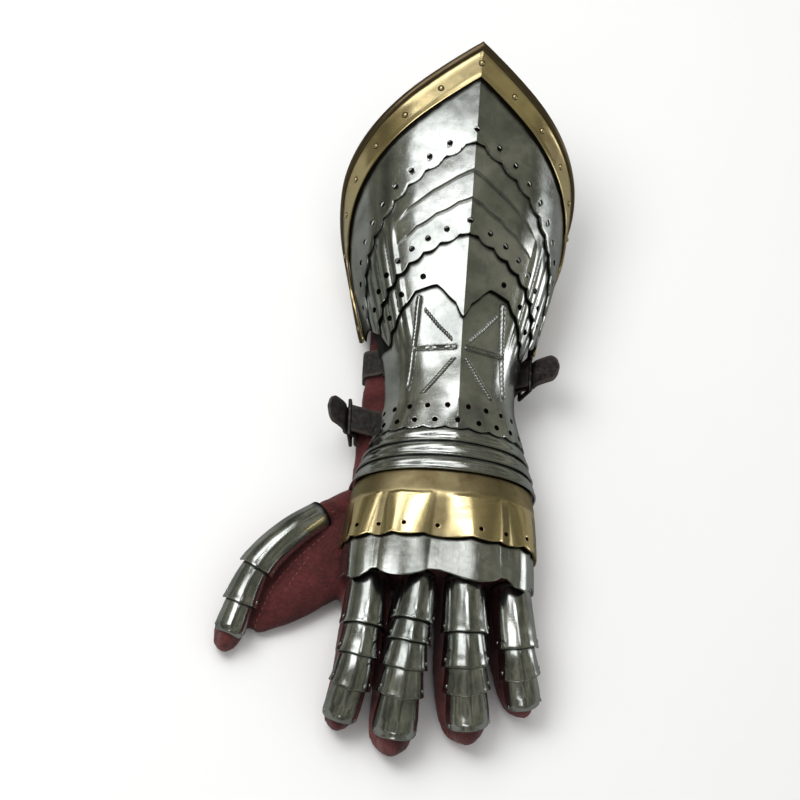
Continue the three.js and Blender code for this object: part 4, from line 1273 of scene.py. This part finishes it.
# floor, light and camera
studio = {"floorColour": (0.80, 0.80, 0.79), "floorMottle": (0.744, 0.744, 0.7347), "floorSize": 6.0,
          "paleWorld": (0.62, 0.62, 0.62), "aim": (0, 0, 0.05),
          "darkRoom": (0.055, 0.053, 0.042), "olive": (0.26, 0.254, 0.19),  # what polished metal mirrors
          "floorInMetal": (0.21, 0.213, 0.195)}
lights = [  # name, direction, distance, width, height, watts, whether metal mirrors it
    ("keyLight", (-0.46, 0.055, 0.89), 1.3, 0.6, 0.7, 3.0, True),
    ("shadowLight", (-0.51, 0.2, 0.86), 1.3, 0.7, 0.7, 9, False),
    ("topLight", (0.138, 0.20, 0.97), 1.5, 0.42, 0.34, 0.55, True),
    ("bandLight", (0, 0.42, 0.90), 1.5, 0.46, 0.2, 1.5, True),
    ("backLight", (-0.27, 0.61, 0.74), 1.4, 0.7, 0.42, 1.9, True),
    ("sideLight", (0.977, 0.222, 0.12), 1.3, 0.22, 0.5, 0.9, True),
    ("lowLight", (-0.2, -0.9, 0.42), 1.4, 0.5, 0.16, 0.5, True),
]
view = {"elevation": 66.0, "roll": 8.7, "lean": 2.2, "distance": 1.4, "aim": (-31, -5, 48), "lens": 112.5}


def floorMaterial():
    finish = Finish("paleFloor", Roughness=0.85, Specular_IOR_Level=0.2)
    at = finish.place()
    grain = finish.noise(at, 700, 3, 0.6)
    mottle = finish.noise(at, 9, 4, 0.55) * 0.25 + grain * 0.1
    tone = finish.mixed(mottle, studio["floorColour"], studio["floorMottle"])
    # metal mirrors the floor much darker than the camera sees it: a painted reflection
    mirrored = Wire(finish, finish.node('ShaderNodeLightPath').outputs['Is Glossy Ray'])
    finish.put(Base_Color=finish.mixed(mirrored, tone, studio["floorInMetal"]),
               Normal=finish.bump(grain, 0.0001, 0.4))
    return finish.material


def makeFloor():
    floor = added(bpy.ops.mesh.primitive_plane_add, size=studio["floorSize"], location=(0, 0, 0))
    floor.name = floor.data.name = "floor"
    floor.data.materials.append(floorMaterial())


def softbox(name, direction, distance, width, height, watts, mirrored):
    towards = Vector(direction).normalized()
    lamp = added(bpy.ops.object.light_add, type='AREA', location=Vector(studio["aim"]) + towards * distance)
    lamp.name = lamp.data.name = name
    lamp.rotation_euler = towards.to_track_quat('Z', 'Y').to_euler()
    lamp.data.shape = 'RECTANGLE'
    lamp.data.size, lamp.data.size_y = width, height
    lamp.data.energy = watts
    lamp.visible_camera = False  # no panel shows beside the object from a low angle
    lamp.visible_glossy = mirrored


def paleRoom():
    # everything around the floor is pale, but polished metal mirrors a darker room
    world = bpy.data.worlds.new("studio")
    world.use_nodes = True
    bpy.context.scene.world = world
    graph = Graph(world.node_tree)
    mirrored = Wire(graph, graph.node('ShaderNodeLightPath').outputs['Is Glossy Ray'])
    clutter = graph.noise(graph.place('Generated'), 4.4, 4, 0.6, 0.6).between(0.42, 0.6)
    room = graph.mixed(clutter, studio["darkRoom"], studio["olive"])
    backdrop = world.node_tree.nodes['Background']
    graph.feed(backdrop.inputs['Color'], graph.mixed(mirrored, studio["paleWorld"], room))


def makeCamera():
    e, r, lean = (math.radians(view[key]) for key in ("elevation", "roll", "lean"))
    right = Vector((math.cos(r), 0, math.sin(r)))
    up = Vector((-math.sin(r) * math.cos(e), math.sin(e), math.cos(r) * math.cos(e)))
    towards = Vector((-math.sin(r) * math.sin(e), -math.cos(e), math.cos(r) * math.sin(e)))
    across = right * math.cos(lean) + up * math.sin(lean)
    upward = up * math.cos(lean) - right * math.sin(lean)
    data = bpy.data.cameras.new("camera")
    data.lens, data.sensor_width, data.clip_start = view["lens"], 36, 0.01
    camera = bpy.data.objects.new("camera", data)
    bpy.context.collection.objects.link(camera)
    place = inFrame(Vector(view["aim"])) + towards * view["distance"]
    camera.matrix_world = placed(place, (across, upward, towards))
    bpy.context.scene.camera = camera


makeFloor()
for light in lights:
    softbox(*light)
paleRoom()
makeCamera()
bpy.context.scene.view_settings.view_transform = 'Standard'
print("stage ready")
